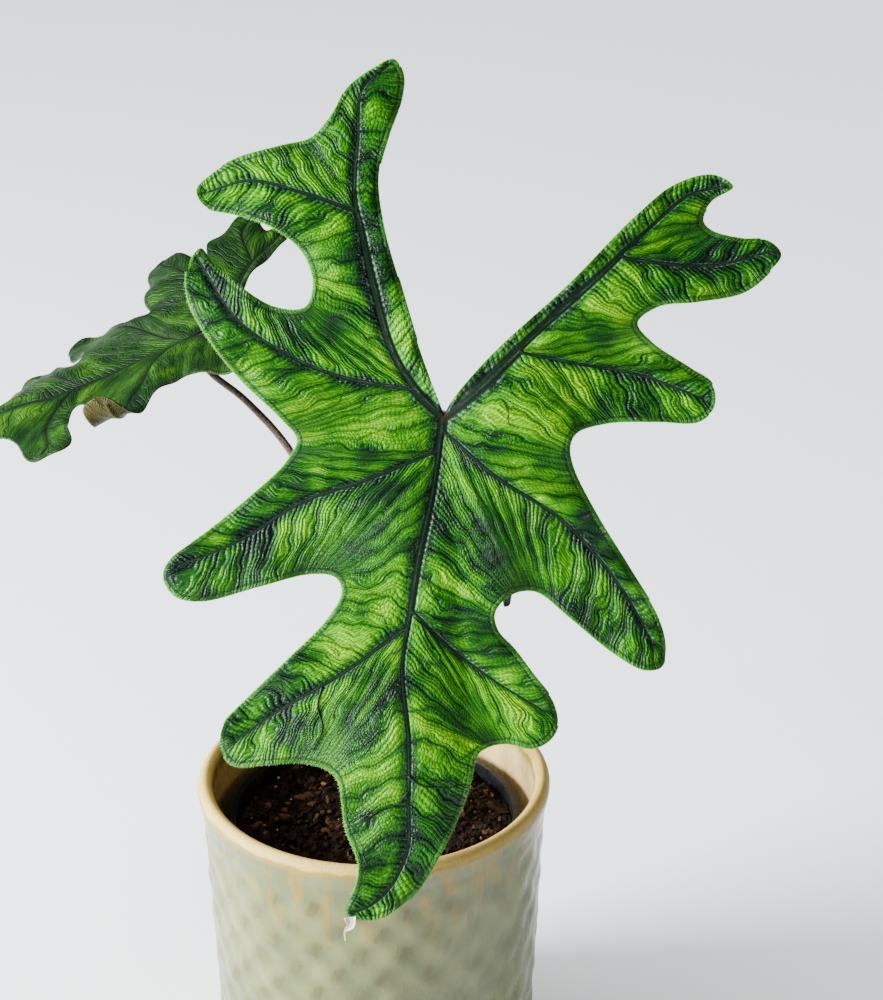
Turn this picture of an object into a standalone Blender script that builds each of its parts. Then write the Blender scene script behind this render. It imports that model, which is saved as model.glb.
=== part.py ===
"""Jacklyn alocasia in a glazed cover pot: three lobed leaves on stalks, soil, grow pot and cover pot.

The world is in metres with +Z up. The origin is the centre of the pot's foot, and the photo looks along +Y.
Sizes below are in millimetres, and a leaf is drawn flat first: u to the right, v away from the leaf's tip,
both from the top of the stalk, and h out of the upper face.
"""

import math

import bmesh
import bpy
import numpy as np
from mathutils import Matrix, Vector

MM = 0.001
SEED = 11
GAP = 0.3  # left between pieces that touch

# Cover pot
POT_HEIGHT = 120.0
POT_RADIUS = 60.0  # over the rim
RIM_WIDTH = 5.4
WALL_LOW, WALL_HIGH = 7.0, 110.0  # heights of the dented wall's ends
WALL_TOP_RADIUS = 58.6
WALL_LOW_RADIUS = 54.6
FOOT_RADIUS = 49.0
FLOOR = 6.0
DENTS_ROUND = 24
DENT_ROWS = 13
DENT_DEPTH = 0.8

# Grow pot and soil
GROW_TOP = 104.0
GROW_RADIUS = 50.0
GROW_FOOT_RADIUS = 42.0
GROW_WALL = 1.1
LIP_DEPTH, LIP_STEP = 4.0, 1.2  # the stiffened edge at its top
GROW_SIDES = 32
DRAINS, DRAIN_RADIUS, DRAIN_PLACE = 4, 4.0, 26.0
SOIL_TOP = 100.0
SOIL_SIDES = 40
SOIL_RINGS = 7
CRUMB = 1.7  # how far the soil's top rises and falls
HOLE_DEPTH = 24.0  # of the plain hole that a stalk stands in
HOLE_SIDES = 12

# Blade
THICKNESS = 0.8
VEIN_STEP = 4.75  # between the places where ribs leave a vein
GROOVE_LEAST = 0.35  # how far a vein is sunk in the upper face
GROOVE_BY_WIDTH = 0.4  # and more, for each millimetre of its half width
KEEL = 1.15  # how far a vein stands out below, for each millimetre of its half width
QUILT = 0.75  # bulge between two side veins
EDGE_DROP = 0.7
EDGE_WAVE = 1.3
WAVE_LENGTH = 27.0
RIB_LEAN = 0.5  # how much the ribs lean towards a lobe's tip
LEAN_LIMIT = 11.0
TIP_FAN = 2  # extra ribs from the end of a vein on each side of a lobe's tip
RIB_SHORT = 0.72  # share of the nearest way to the edge in a rib's course, the rest is even spacing
RIB_EVEN = 9.0  # length of vein over which the ribs' places on the edge are evened out
VEIN_LIMIT = 0.3  # most of a rib that its vein takes up
COURSE_STEP, OUTLINE_STEP = 0.25, 0.15  # between points of the finely drawn veins and outline

# The eye's axis meets the main leaf's plane here, and stands this far off it
SIGHT_U, SIGHT_V = -0.8, -25.6
SIGHT_DISTANCE = 765.0
VIEW_PITCH = math.radians(25.2)

# Each vein: the vein that it leaves, its half width at root and tip, and its course
VEINS = {
    "midrib": (None, (1.8, 0.5), ((0, 0), (-3, -21), (-8, -45.5), (-10.5, -61.5), (-13, -77.5), (-11, -101.5),
                                  (-11, -119.5), (-11, -133.5), (-13.5, -141), (-17, -147), (-22.5, -152),
                                  (-28, -154.5))),
    "left_horn": ("midrib", (2.2, 0.4), ((0, 0), (-9, 8.5), (-16, 20), (-21.5, 39.5), (-25.5, 57.5),
                                         (-28, 68.5), (-27, 87.5), (-25.5, 102.5), (-17.5, 109.5))),
    "left_horn_outer": ("left_horn", (1.1, 0.5), ((-27.5, 64.5), (-43.5, 70), (-60, 74), (-73.5, 70.3))),
    "left_horn_inner": ("left_horn", (1.3, 0.5), ((-9, 8.5), (-29.5, 12), (-46, 18), (-64.5, 30.5),
                                                  (-77, 49.5))),
    "left_arm": ("midrib", (1.3, 0.5), ((-2, -10.5), (-23, -19), (-44.5, -26.5), (-63, -38), (-82.5, -46.5))),
    "left_leg": ("midrib", (1.2, 0.5), ((-12, -66), (-31.5, -80), (-50.5, -91), (-64.5, -100.5))),
    "right_leg": ("midrib", (1.2, 0.5), ((-10, -60.5), (0.5, -71), (16, -82.5), (30, -91))),
    "right_arm": ("midrib", (1.4, 0.5), ((-0.5, -4), (15.5, -18), (37, -32), (55.5, -53.5), (64.5, -69.5))),
    "right_horn": ("midrib", (2.5, 0.4), ((0, 0), (12.5, 10.5), (31, 28.5), (47, 43), (62, 57), (76, 69),
                                          (86, 72))),
    "right_horn_inner": ("right_horn", (1.1, 0.5), ((23.5, 20.5), (41, 17), (60.5, 13.5), (80.5, 6))),
    "right_horn_outer": ("right_horn", (1.1, 0.5), ((55.5, 50), (69.5, 48), (84, 47.5), (101, 51.5))),
}

# The place on a vein that faces the bottom of each bay between two lobes
BAY_ROOTS = {
    "horn_bay": ("left_horn", (-27, 74.5)),
    "shoulder_bay": ("left_horn", (-20.5, 36)),
    "left_hip_bay": ("midrib", (-9, -54)),
    "left_foot_bay": ("midrib", (-11, -107)),
    "right_foot_bay": ("midrib", (-12, -96)),
    "right_hip_bay": ("midrib", (-7, -44.5)),
    "right_shoulder_bay": ("right_horn", (8, 6)),
    "inner_bay": ("right_horn", (42, 38)),
    "outer_bay": ("right_horn", (71, 65)),
}

# The edge, walked once round from the notch with the blade on the left hand. Each run goes out to a lobe's
# tip or back to a bay, with the walk along the veins that it faces.
OUT, BACK = 1, -1
EDGE_RUNS = (
    (OUT, ((0, 1), (-6.5, 19), (-13, 40.5), (-18.5, 60.5), (-20, 76), (-17, 88), (-13, 99.5), (-12.5, 107)),
     (("left_horn", "root", "tip"),)),
    (BACK, ((-15.5, 112), (-22.5, 109), (-30.5, 103), (-35, 95)),
     (("left_horn", "tip", "horn_bay"),)),
    (OUT, ((-41.5, 87.5), (-51, 85), (-65, 81), (-73, 76)),
     (("left_horn", "horn_bay", "left_horn_outer"), ("left_horn_outer", "root", "tip"))),
    (BACK, ((-77.5, 71), (-74.5, 65.5), (-64.5, 63), (-52.5, 58.5), (-44, 51)),
     (("left_horn_outer", "tip", "root"), ("left_horn", "left_horn_outer", "shoulder_bay"))),
    (OUT, ((-41, 41.5), (-43.5, 34.5), (-52.5, 34.5), (-63, 40.5), (-72, 48.5)),
     (("left_horn", "shoulder_bay", "left_horn_inner"), ("left_horn_inner", "root", "tip"))),
    (BACK, ((-76, 53), (-80.5, 46.5), (-80, 36), (-73.5, 24), (-63, 11), (-51, -0.5)),
     (("left_horn_inner", "tip", "root"), ("left_horn", "left_horn_inner", "root"))),
    (OUT, ((-46, -7), (-49.5, -14), (-60, -24), (-74, -35.5), (-85.5, -44)),
     (("midrib", "root", "left_arm"), ("left_arm", "root", "tip"))),
    (BACK, ((-88, -49.5), (-84, -56), (-75.5, -57.5), (-58, -53), (-41.5, -49), (-34, -50)),
     (("left_arm", "tip", "root"), ("midrib", "left_arm", "left_hip_bay"))),
    (OUT, ((-32, -54.5), (-37, -63.5), (-48.5, -75), (-62, -88), (-69, -95.5), (-70.2, -101)),
     (("midrib", "left_hip_bay", "left_leg"), ("left_leg", "root", "tip"))),
    (BACK, ((-69.8, -104.5), (-66, -108.8), (-54.5, -108.5), (-45, -108), (-36, -110.5)),
     (("left_leg", "tip", "root"), ("midrib", "left_leg", "left_foot_bay"))),
    (OUT, ((-33, -114.5), (-32, -121), (-31, -128.5), (-27, -139.5), (-28, -147)),
     (("midrib", "left_foot_bay", "tip"),)),
    (BACK, ((-31, -155), (-21, -157), (-9.5, -149.5), (-1, -136.5), (5, -124), (8.5, -114), (10.5, -105.5)),
     (("midrib", "tip", "right_foot_bay"),)),
    (OUT, ((14, -103), (19.5, -102), (27.5, -103.5), (33, -101)),
     (("midrib", "right_foot_bay", "right_leg"), ("right_leg", "root", "tip"))),
    (BACK, ((35.8, -96), (34, -88), (28, -80), (22, -72), (17, -66.5)),
     (("right_leg", "tip", "root"), ("midrib", "right_leg", "right_hip_bay"))),
    (OUT, ((16, -61), (21, -55.5), (28.5, -54.5), (39, -62.5), (52.5, -73.5), (62.5, -79)),
     (("midrib", "right_hip_bay", "right_arm"), ("right_arm", "root", "tip"))),
    (BACK, ((68, -78), (69.5, -72.5), (67.5, -63), (58.5, -47.5), (48, -30.5), (40.5, -15.5)),
     (("right_arm", "tip", "root"), ("midrib", "right_arm", "root"),
      ("right_horn", "root", "right_shoulder_bay"))),
    (OUT, ((39.5, -9), (41.5, -5), (51, -2), (66.5, -1.5), (79.5, -1.5)),
     (("right_horn", "right_shoulder_bay", "right_horn_inner"), ("right_horn_inner", "root", "tip"))),
    (BACK, ((84.5, 3), (84, 10.5), (77, 15.5), (65, 23.5)),
     (("right_horn_inner", "tip", "root"), ("right_horn", "right_horn_inner", "inner_bay"))),
    (OUT, ((60.5, 29.5), (67, 34.5), (79.5, 36), (94, 39), (102.5, 46)),
     (("right_horn", "inner_bay", "right_horn_outer"), ("right_horn_outer", "root", "tip"))),
    (BACK, ((105.5, 51), (101, 55.5), (93, 56), (83.5, 58.5)),
     (("right_horn_outer", "tip", "root"), ("right_horn", "right_horn_outer", "outer_bay"))),
    (OUT, ((81, 61.5), (84, 67.5)),
     (("right_horn", "outer_bay", "tip"),)),
    (BACK, ((90.5, 72), (84, 76), (72, 73), (59.5, 63), (38.5, 41.5), (14, 19), (2.5, 5.5)),
     (("right_horn", "tip", "root"),)),
)


def smooth(points, step):
    """Points about every step along a rounded curve through the given ones, and where those lie in it."""
    given = np.array(points, float)
    gap = np.sqrt(np.linalg.norm(np.diff(given, axis=0), axis=1))[:, None]
    slope = np.diff(given, axis=0) / gap
    turn = (slope[:-1] * gap[1:] + slope[1:] * gap[:-1]) / (gap[:-1] + gap[1:])
    tangent = np.vstack((slope[:1], turn, slope[-1:]))
    curve, stops = [given[:1]], [0]
    for i, (a, b) in enumerate(zip(given, given[1:])):
        count = max(2, math.ceil(np.linalg.norm(b - a) / step))
        t = np.linspace(0, 1, count + 1)[1:, None]
        leave, arrive = tangent[i] * gap[i], tangent[i + 1] * gap[i]
        curve.append(a * (1 + 2 * t) * (1 - t) ** 2 + leave * t * (1 - t) ** 2
                     + b * t * t * (3 - 2 * t) + arrive * t * t * (t - 1))
        stops.append(stops[-1] + count)
    return np.vstack(curve), stops


def lengths(line):
    """Length along a line up to each of its points."""
    return np.concatenate(([0.0], np.cumsum(np.linalg.norm(np.diff(line, axis=0), axis=1))))


def lay_veins(step, size, warp):
    """The places along every vein where ribs leave, each place once, though both sides of a vein use it."""
    lines, marks = {}, {}
    for name, (_, _, course) in VEINS.items():
        line = warp(smooth(course, COURSE_STEP)[0])
        along = lengths(line)
        lines[name] = line, along
        marks[name] = {"root": 0.0, "tip": along[-1]}

    def mark(vein, name, place):
        line, along = lines[vein]
        marks[vein][name] = along[np.argmin(np.linalg.norm(line - warp(np.array([place], float)), axis=1))]

    for name, (parent, _, course) in VEINS.items():
        if parent:
            mark(parent, name, course[0])
    for name, (vein, place) in BAY_ROOTS.items():
        mark(vein, name, place)

    spots, halves, runs = [], [], {}
    for name, (parent, (root_half, tip_half), _) in VEINS.items():
        line, along = lines[name]
        stops = sorted(set(marks[name].values()))
        places = [0.0]
        for a, b in zip(stops, stops[1:]):
            places += list(np.linspace(a, b, max(1, round((b - a) / step)) + 1)[1:])
        places = np.array(places)
        numbers = []
        for place in places:
            if parent and place == 0.0:
                at, owned = runs[parent]
                numbers.append(owned[np.argmin(abs(at - marks[parent][name]))])
                continue
            numbers.append(len(spots))
            spots.append([np.interp(place, along, line[:, axis]) for axis in (0, 1)])
            halves.append(size * (root_half + (tip_half - root_half) * place / along[-1]))
        runs[name] = places, numbers
    return np.array(spots), np.array(halves), runs, marks


def walk(route, runs, marks):
    """The numbers of the vein places passed on a route."""
    passed = []
    for vein, start, end in route:
        at, numbers = runs[vein]
        a, b = (int(np.argmin(abs(at - marks[vein][name]))) for name in (start, end))
        leg = numbers[a:b + 1] if a <= b else numbers[b:a + 1][::-1]
        passed += leg if not passed else leg[1:]
    ends = [name for _, start, end in route for name in (start, end)]
    if ends[0] == "tip":
        passed = passed[:1] * TIP_FAN + passed
    if ends[-1] == "tip":
        passed = passed + passed[-1:] * TIP_FAN
    return passed


def face_edge(spots, edge, lean, step):
    """For each vein place the facing place on the edge: short ribs that lean to the tip and never cross."""
    along = np.gradient(spots, axis=0)
    along /= np.maximum(np.linalg.norm(along, axis=1), 1e-9)[:, None]
    near = np.linalg.norm(edge[None] - spots[:, None], axis=2).min(axis=1)
    walked = lengths(spots)
    left = walked[-1] - walked if lean == OUT else walked
    shift = RIB_LEAN * np.minimum(np.minimum(near, LEAN_LIMIT), left)
    target = spots + lean * shift[:, None] * along
    share = np.linalg.norm(edge[None] - target[:, None], axis=2).argmin(axis=1) / (len(edge) - 1)
    share[0], share[-1] = 0.0, 1.0
    share = np.maximum.accumulate(share)
    reach = min(max(1, round(RIB_EVEN / step)), len(share) - 1)
    padded = np.concatenate((-share[reach:0:-1], share, 2 - share[-2:-reach - 2:-1]))
    share = np.convolve(padded, np.ones(2 * reach + 1) / (2 * reach + 1), "valid")
    share = RIB_SHORT * share + (1 - RIB_SHORT) * np.linspace(0, 1, len(share))
    at = share * (len(edge) - 1)
    return np.column_stack([np.interp(at, np.arange(len(edge)), edge[:, axis]) for axis in (0, 1)])


def blade_plan(step, shares, size, warp):
    """The flat blade as a net of ribs. shares are the rows of a rib, from the side of its vein to the edge.

    size is the leaf's size beside the main leaf's, and warp moves the main leaf's drawing to this leaf's.

    Gives for each rib the number of its vein place and, row by row from the vein out, the flat places,
    the distance from the vein, the share of the way out, and the half width of the rib's vein.
    """
    spots, halves, runs, marks = lay_veins(step, size, warp)
    outline = [point for _, points, _ in EDGE_RUNS for point in points] + [EDGE_RUNS[0][1][0]]
    dense, stops = smooth(outline, OUTLINE_STEP)
    dense = warp(dense)
    first, owners, edges = 0, [], []
    for lean, points, route in EDGE_RUNS:
        numbers = walk(route, runs, marks)
        stretch = dense[stops[first]:stops[first + len(points)] + 1]
        edges.append(face_edge(spots[numbers], stretch, lean, step)[:-1])
        owners += numbers[:-1]
        first += len(points)
    owners, edge = np.array(owners), np.vstack(edges)
    root = spots[owners]
    way = edge - root
    length = np.linalg.norm(way, axis=1)
    vein_side = np.minimum(halves[owners], VEIN_LIMIT * length)[:, None]
    rows = np.array(shares)[None]
    out = np.column_stack((np.zeros(len(owners)), vein_side + (length[:, None] - vein_side) * rows))
    flat = root[:, None] + way[:, None] * (out / length[:, None])[..., None]
    share = np.column_stack((np.zeros(len(owners)), np.repeat(rows, len(owners), axis=0)))
    return owners, flat, out, share, halves[owners]


def blade_relief(flat, out, share, half, quilting, step, size):
    """Height of the upper face over the flat plan, and of the lower face.

    The upper face has a groove over each vein, ribs that are high and low by turns, and an edge that falls
    and waves. The lower face follows it, with a keel under each vein.
    """
    edge_way = lengths(flat[:, -1])[:, None]
    between = np.linalg.norm(np.roll(flat, -1, axis=0) - np.roll(flat, 1, axis=0), axis=2)
    room = np.minimum(1.0, between / (2 * step))
    wide = half[:, None]
    sunk = GROOVE_LEAST * size + GROOVE_BY_WIDTH * wide
    groove = -sunk * np.exp(-(out / (1.5 * wide + 0.9 * size)) ** 2)
    bulge = QUILT * size * room * (quilting[:, None] - 0.4) * np.sin(math.pi * share ** 0.8)
    fall = -EDGE_DROP * size * share ** 5
    wave = EDGE_WAVE * size * share ** 3 * np.sin(2 * math.pi * edge_way / (WAVE_LENGTH * size))
    upper = groove + bulge + fall + wave
    lower = upper - THICKNESS - KEEL * wide * np.exp(-(out / (1.2 * wide + 0.3)) ** 2)
    return upper, lower


def blade_mesh(owners, flat, upper, lower, place, mirrored):
    """One closed body from the net of ribs: both faces split alike, and a wall along the edge."""
    ribs, rows = flat.shape[:2]
    veins = owners.max() + 1
    number = np.empty((ribs, rows), int)
    number[:, 0] = owners
    number[:, 1:] = veins + np.arange(ribs * (rows - 1)).reshape(ribs, rows - 1)
    total = veins + ribs * (rows - 1)
    plan = np.empty((total, 2))
    top = np.empty(total)
    under = np.empty(total)
    plan[number], top[number], under[number] = flat, upper, lower
    spots = np.vstack((place(plan, top), place(plan, under))) * MM

    def area(a, b, c):
        (ax, ay), (bx, by), (cx, cy) = plan[a], plan[b], plan[c]
        return (bx - ax) * (cy - ay) - (by - ay) * (cx - ax)

    faces, folded = [], 0
    for rib in range(ribs):
        ahead = (rib + 1) % ribs
        for row in range(rows - 1):
            a, b = number[rib, row], number[ahead, row]
            d, c = number[rib, row + 1], number[ahead, row + 1]
            if a == b:
                faces.append((a, d, c))
                continue
            ways = (((a, d, c), (a, c, b)), ((a, d, b), (d, c, b)))
            worst = [min(area(*one) for one in way) for way in ways]
            folded += max(worst) <= 0
            faces += ways[0] if worst[0] >= worst[1] else ways[1]
    both = [tuple(f) for f in faces] + [(f[0] + total, f[2] + total, f[1] + total) for f in faces]
    for rib in range(ribs):
        a, b = number[rib, -1], number[(rib + 1) % ribs, -1]
        both += [(a, a + total, b + total), (a, b + total, b)]
    if mirrored:
        both = [face[::-1] for face in both]
    return spots, both, folded


def add_object(name, spots, faces, material):
    """A named object from vertices in metres and faces."""
    mesh = bpy.data.meshes.new(name)
    corners = [tuple(map(float, spot)) for spot in spots]
    mesh.from_pydata(corners, [], [tuple(map(int, face)) for face in faces])
    mesh.validate()
    mesh.materials.append(material)
    made = bpy.data.objects.new(name, mesh)
    bpy.context.scene.collection.objects.link(made)
    return made


def make_material(name, colour, roughness):
    """A plain material of one colour."""
    material = bpy.data.materials.new(name)
    material.use_nodes = True
    shader = material.node_tree.nodes["Principled BSDF"]
    shader.inputs["Base Color"].default_value = (*colour, 1.0)
    shader.inputs["Roughness"].default_value = roughness
    material.diffuse_color = (*colour, 1.0)
    return material


def cut(target, cutters):
    """Take the cutters out of the target, and the cutters away."""
    for cutter in cutters:
        cutter.hide_render = True
        cutter.display_type = "WIRE"
        boolean = target.modifiers.new("hole", "BOOLEAN")
        boolean.operation = "DIFFERENCE"
        boolean.solver = "EXACT"
        boolean.object = cutter
    bpy.context.view_layer.update()
    cut_mesh = bpy.data.meshes.new_from_object(target.evaluated_get(bpy.context.evaluated_depsgraph_get()))
    target.modifiers.clear()
    target.data = cut_mesh
    for cutter in cutters:
        bpy.data.objects.remove(cutter)


def upright_bar(name, radius, low, high, centre, material):
    """An upright cylinder between two heights, to cut a round hole with."""
    shape = bmesh.new()
    place = Matrix.Translation(Vector((centre[0], centre[1], (low + high) / 2)) * MM)
    bmesh.ops.create_cone(shape, cap_ends=True, segments=HOLE_SIDES, radius1=radius * MM, radius2=radius * MM,
                          depth=(high - low) * MM, matrix=place)
    mesh = bpy.data.meshes.new(name)
    shape.to_mesh(mesh)
    shape.free()
    mesh.materials.append(material)
    bar = bpy.data.objects.new(name, mesh)
    bpy.context.scene.collection.objects.link(bar)
    return bar


def turned(name, rings, material):
    """A closed body from rings of points, each ring a list, or one point at either end."""
    spots = np.vstack(rings) * MM
    faces, start = [], 0
    for ring, following in zip(rings, rings[1:]):
        after = start + len(ring)
        for i in range(max(len(ring), len(following))):
            j = i + 1
            if len(ring) == 1:
                faces.append((start, after + j % len(following), after + i))
            elif len(following) == 1:
                faces.append((start + i, start + j % len(ring), after))
            else:
                a, b = start + i, start + j % len(ring)
                c, d = after + j % len(ring), after + i
                faces += [(a, b, d), (b, c, d)]
        start = after
    return add_object(name, spots, faces, material)


def circle(radius, height, sides):
    """A level ring of points. radius is one number or one for each point."""
    turn = np.arange(sides) * 2 * math.pi / sides
    return np.column_stack((radius * np.cos(turn), radius * np.sin(turn), np.full(sides, height)))


def point(height):
    """A single point on the pot's axis."""
    return np.array([[0.0, 0.0, height]])


def make_pot(material):
    """Thrown cover pot: rows of shallow dents round the wall, a rounded rim, a flat floor and a flat foot."""
    sides = 2 * DENTS_ROUND
    wall = []
    heights = np.linspace(WALL_LOW, WALL_HIGH, DENT_ROWS)
    radii = np.linspace(WALL_LOW_RADIUS, WALL_TOP_RADIUS, DENT_ROWS)
    for row, (height, radius) in enumerate(zip(heights, radii)):
        dented = (np.arange(sides) + row) % 2 * (0 < row < DENT_ROWS - 1)
        wall.append(circle(radius - DENT_DEPTH * dented, height, sides))
    inner = POT_RADIUS - RIM_WIDTH
    rim = [(POT_RADIUS - 0.4, POT_HEIGHT - 6.0), (POT_RADIUS, POT_HEIGHT - 3.0),
           (POT_RADIUS - 1.2, POT_HEIGHT - 0.6), (POT_RADIUS - RIM_WIDTH / 2, POT_HEIGHT),
           (inner + 0.8, POT_HEIGHT - 1.2), (inner, POT_HEIGHT - 4.0)]
    inside = [(inner - 0.4, POT_HEIGHT - 24.0), (WALL_LOW_RADIUS - 5.0, 18.0), (WALL_LOW_RADIUS - 8.0, FLOOR)]
    rings = [point(0.0), circle(FOOT_RADIUS, 0.0, sides), circle(FOOT_RADIUS + 3.4, 1.6, sides)]
    rings += wall + [circle(radius, height, sides) for radius, height in rim + inside] + [point(FLOOR)]
    return turned("pot", rings, material)


def grow_radius(height):
    """Outer radius of the grow pot's wall at a height."""
    foot = FLOOR + GAP
    top_radius = GROW_RADIUS - LIP_STEP
    return GROW_FOOT_RADIUS + (top_radius - GROW_FOOT_RADIUS) * (height - foot) / (GROW_TOP - foot)


def make_grow_pot(material):
    """Thin tapered plastic pot with a stiffened edge and drain holes, standing on the cover pot's floor."""
    foot, lip = FLOOR + GAP, GROW_TOP - LIP_DEPTH
    outside = [(GROW_FOOT_RADIUS, foot), (grow_radius(lip), lip), (GROW_RADIUS, lip), (GROW_RADIUS, GROW_TOP)]
    inside = [(grow_radius(GROW_TOP) - GROW_WALL, GROW_TOP), (GROW_FOOT_RADIUS - GROW_WALL, foot + GROW_WALL)]
    rings = [circle(radius, height, GROW_SIDES) for radius, height in outside + inside]
    grow = turned("grow_pot", [point(foot)] + rings + [point(foot + GROW_WALL)], material)
    drains = []
    for i in range(DRAINS):
        turn = 2 * math.pi * (i + 0.5) / DRAINS
        centre = DRAIN_PLACE * math.cos(turn), DRAIN_PLACE * math.sin(turn)
        drains.append(upright_bar("drain", DRAIN_RADIUS, foot - 2, foot + 4, centre, material))
    cut(grow, drains)
    return grow


def make_soil(stalks, material):
    """Root ball and potting mix: a crumbly top, a tapered side, and a plain hole for each stalk."""
    draw = np.random.default_rng(SEED)
    foot = FLOOR + GAP + GROW_WALL + GAP
    inside = GROW_WALL + GAP
    side = [circle(grow_radius(height) - inside, height, SOIL_SIDES) for height in (foot, SOIL_TOP - 1.5)]
    top = []
    for radius in np.linspace(43.5, 7.5, SOIL_RINGS):
        ring = circle(radius, SOIL_TOP, SOIL_SIDES)
        ring[:, 2] += CRUMB * draw.uniform(-1, 1, SOIL_SIDES) * min(1.0, radius / 20)
        top.append(ring)
    soil = turned("soil", [point(foot)] + side + top + [point(SOIL_TOP)], material)
    holes = []
    for base, radius in stalks:
        floor, above = SOIL_TOP - HOLE_DEPTH, SOIL_TOP + 6
        holes.append(upright_bar("stalk_hole", radius + GAP, floor, above, base, material))
    cut(soil, holes)
    return soil


def make_stalk(name, course, radii, material):
    """A round tapering stalk along a rounded course, with its ends square to it."""
    line, _ = smooth(course, STALK_STEP)
    along = lengths(line) / lengths(line)[-1]
    radius = np.interp(along, np.linspace(0, 1, len(radii)), radii)
    ahead = np.gradient(line, axis=0)
    ahead /= np.linalg.norm(ahead, axis=1)[:, None]
    rings, side = [line[:1]], np.array([1.0, 0.0, 0.0])
    turn = np.arange(STALK_SIDES) * 2 * math.pi / STALK_SIDES
    for spot, way, size in zip(line, ahead, radius):
        side = side - way * side.dot(way)
        side /= np.linalg.norm(side)
        other = np.cross(way, side)
        rings.append(spot + size * (np.cos(turn)[:, None] * side + np.sin(turn)[:, None] * other))
    return turned(name, rings + [line[-1:]], material)


def roll(across, height, start, radius):
    """Roll a sheet up past start: its place across and its height, with height kept square to the sheet."""
    turn = np.clip((across - start) / radius, 0.0, ROLL_TURN)
    rest = across - start - turn * radius
    ahead, up = np.cos(turn), np.sin(turn)
    past = across > start
    x = np.where(past, start + radius * up + rest * ahead - height * up, across)
    z = np.where(past, radius * (1 - ahead) + rest * up + height * ahead, height)
    return x, z


def fold(across, height, angle, softness):
    """Fold a sheet up along its middle by an angle on each side, softly, with height square to the sheet."""
    lean = angle * np.tanh(across / softness)
    x = across * math.cos(angle) + (1 - math.cos(angle)) * softness * np.tanh(across / softness)
    z = math.sin(angle) * softness * np.log(np.cosh(across / softness))
    return x - height * np.sin(lean), z + height * np.cos(lean)


def aimed(tip_way, side_way):
    """Square axes of a leaf: across, away from the tip, and out of the upper face."""
    away = -np.array(tip_way) / np.linalg.norm(tip_way)
    across = np.array(side_way) - away * away.dot(side_way)
    across /= np.linalg.norm(across)
    return np.array((across, away, np.cross(across, away)))


# Main leaf: its plane faces the camera
MAIN_ORIGIN = np.array([23.8, -13.2, 256.8])
MAIN_AXES = np.array([[1.0, 0.0, 0.0], [0.0, math.sin(VIEW_PITCH), math.cos(VIEW_PITCH)],
                      [0.0, -math.cos(VIEW_PITCH), math.sin(VIEW_PITCH)]])

# Back leaf: smaller, mirrored, and seen almost along its face
BACK_SIZE = 0.66
BACK_ORIGIN = np.array([-63.0, 84.0, 246.5])
BACK_AXES = aimed((-0.95, -0.12, -0.22), (0.24, -0.95, -0.05))
BACK_RAISED = 0.17  # slope up of both halves beside the horns
BACK_HORN = 0.2  # share by which the far horn is shorter than the drawing's
BACK_LOWERED = 0.22  # slope down of the far half beside the tip
ROLL_START, ROLL_RADIUS, ROLL_TURN = 44.0, 8.0, 2.4
ROLL_FROM, ROLL_TO = -45.0, -20.0
ROLL_SLANT = 0.2  # how much nearer to the midrib the roll starts, for each millimetre towards the tip

# Where the back leaf's lobes lie otherwise than in the drawing: a place, how far it's moved, and the reach
BACK_LOBES = (
    # Far inner lobe, and the bay between it and the far arm
    ((52, 2), (0, -9), 18), ((30, -6), (-3, -10), 14), ((50, -9), (3, -5), 11), ((33, -11), (1, -5), 10),
    # Bay between the far inner lobe and the horn, and the horn's edges
    ((46, 17), (4, -4), 9), ((48, 13), (2, -3), 8), ((65, 21), (-1, 4), 9), ((33, 31), (1, -3.5), 14),
    # Far arm, its bay and the far leg
    ((46, -43), (5, 1), 9), ((18, -44), (7, -6), 14), ((26, -43), (0, -5), 9), ((23, -62), (5, 0), 11),
    # Near arm, which is rolled up, and the bays beside it
    ((-31, -6), (-5, 0), 9), ((-24, -35), (2, -8), 12), ((-50, -37), (0, -5), 12),
    # Near leg
    ((-46, -66), (0, 4), 16), ((-43, -54), (-7, 5), 12), ((-47, -51), (0, 3), 9), ((-44, -67), (0, 3), 10),
    ((-31, -70), (3, 2.5), 8),
)

# Young leaf: small, still folded, hanging behind the main leaf
YOUNG_SIZE = 0.32
YOUNG_ORIGIN = np.array([32.5, 40.0, 212.0])
YOUNG_AXES = aimed((0.42, -0.12, -0.9), (0.9, 0.15, 0.42))
YOUNG_FOLD = math.radians(50)


def place_main(plan, height):
    """The main leaf arches back at its tip and horns, along the lines of sight, so its outline stays."""
    u, v = plan.T
    arch = -0.00042 * (v + 20) ** 2 - 0.0005 * (u - 5) ** 2
    hollow = 2.2 * np.tanh(abs(u + 0.08 * v) / 14) - 1.0
    ripple = 1.4 * np.sin(u / 13 + v / 31) * np.cos(v / 17 - 0.6)
    out = arch + hollow + ripple + height
    nearer = 1 - out / SIGHT_DISTANCE
    u, v = SIGHT_U + (u - SIGHT_U) * nearer, SIGHT_V + (v - SIGHT_V) * nearer
    return MAIN_ORIGIN + np.column_stack((u, v, out)) @ MAIN_AXES


def place_back(plan, height):
    """The back leaf is the mirror image of the main one. It droops to its tip, and one lobe is rolled up."""
    u, v = -plan[:, 0], plan[:, 1]
    rolled = (v > ROLL_FROM) & (v < ROLL_TO)
    across, up = roll(u, height, ROLL_START + ROLL_SLANT * (v - ROLL_TO), ROLL_RADIUS)
    across, up = np.where(rolled, across, u), np.where(rolled, up, height)
    ahead = np.maximum(-v, 0.0)
    droop = -0.0016 * ahead ** 2 - 0.0008 * np.maximum(u, 0) ** 2 + 1.6 * np.sin(u / 9 + v / 13)
    horns = 0.5 + 0.5 * np.tanh((v + 22) / 16)
    droop += BACK_RAISED * abs(u) * horns - BACK_LOWERED * np.maximum(-u, 0) * (1 - horns)
    return BACK_ORIGIN + np.column_stack((across, v, up + droop)) @ BACK_AXES


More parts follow.
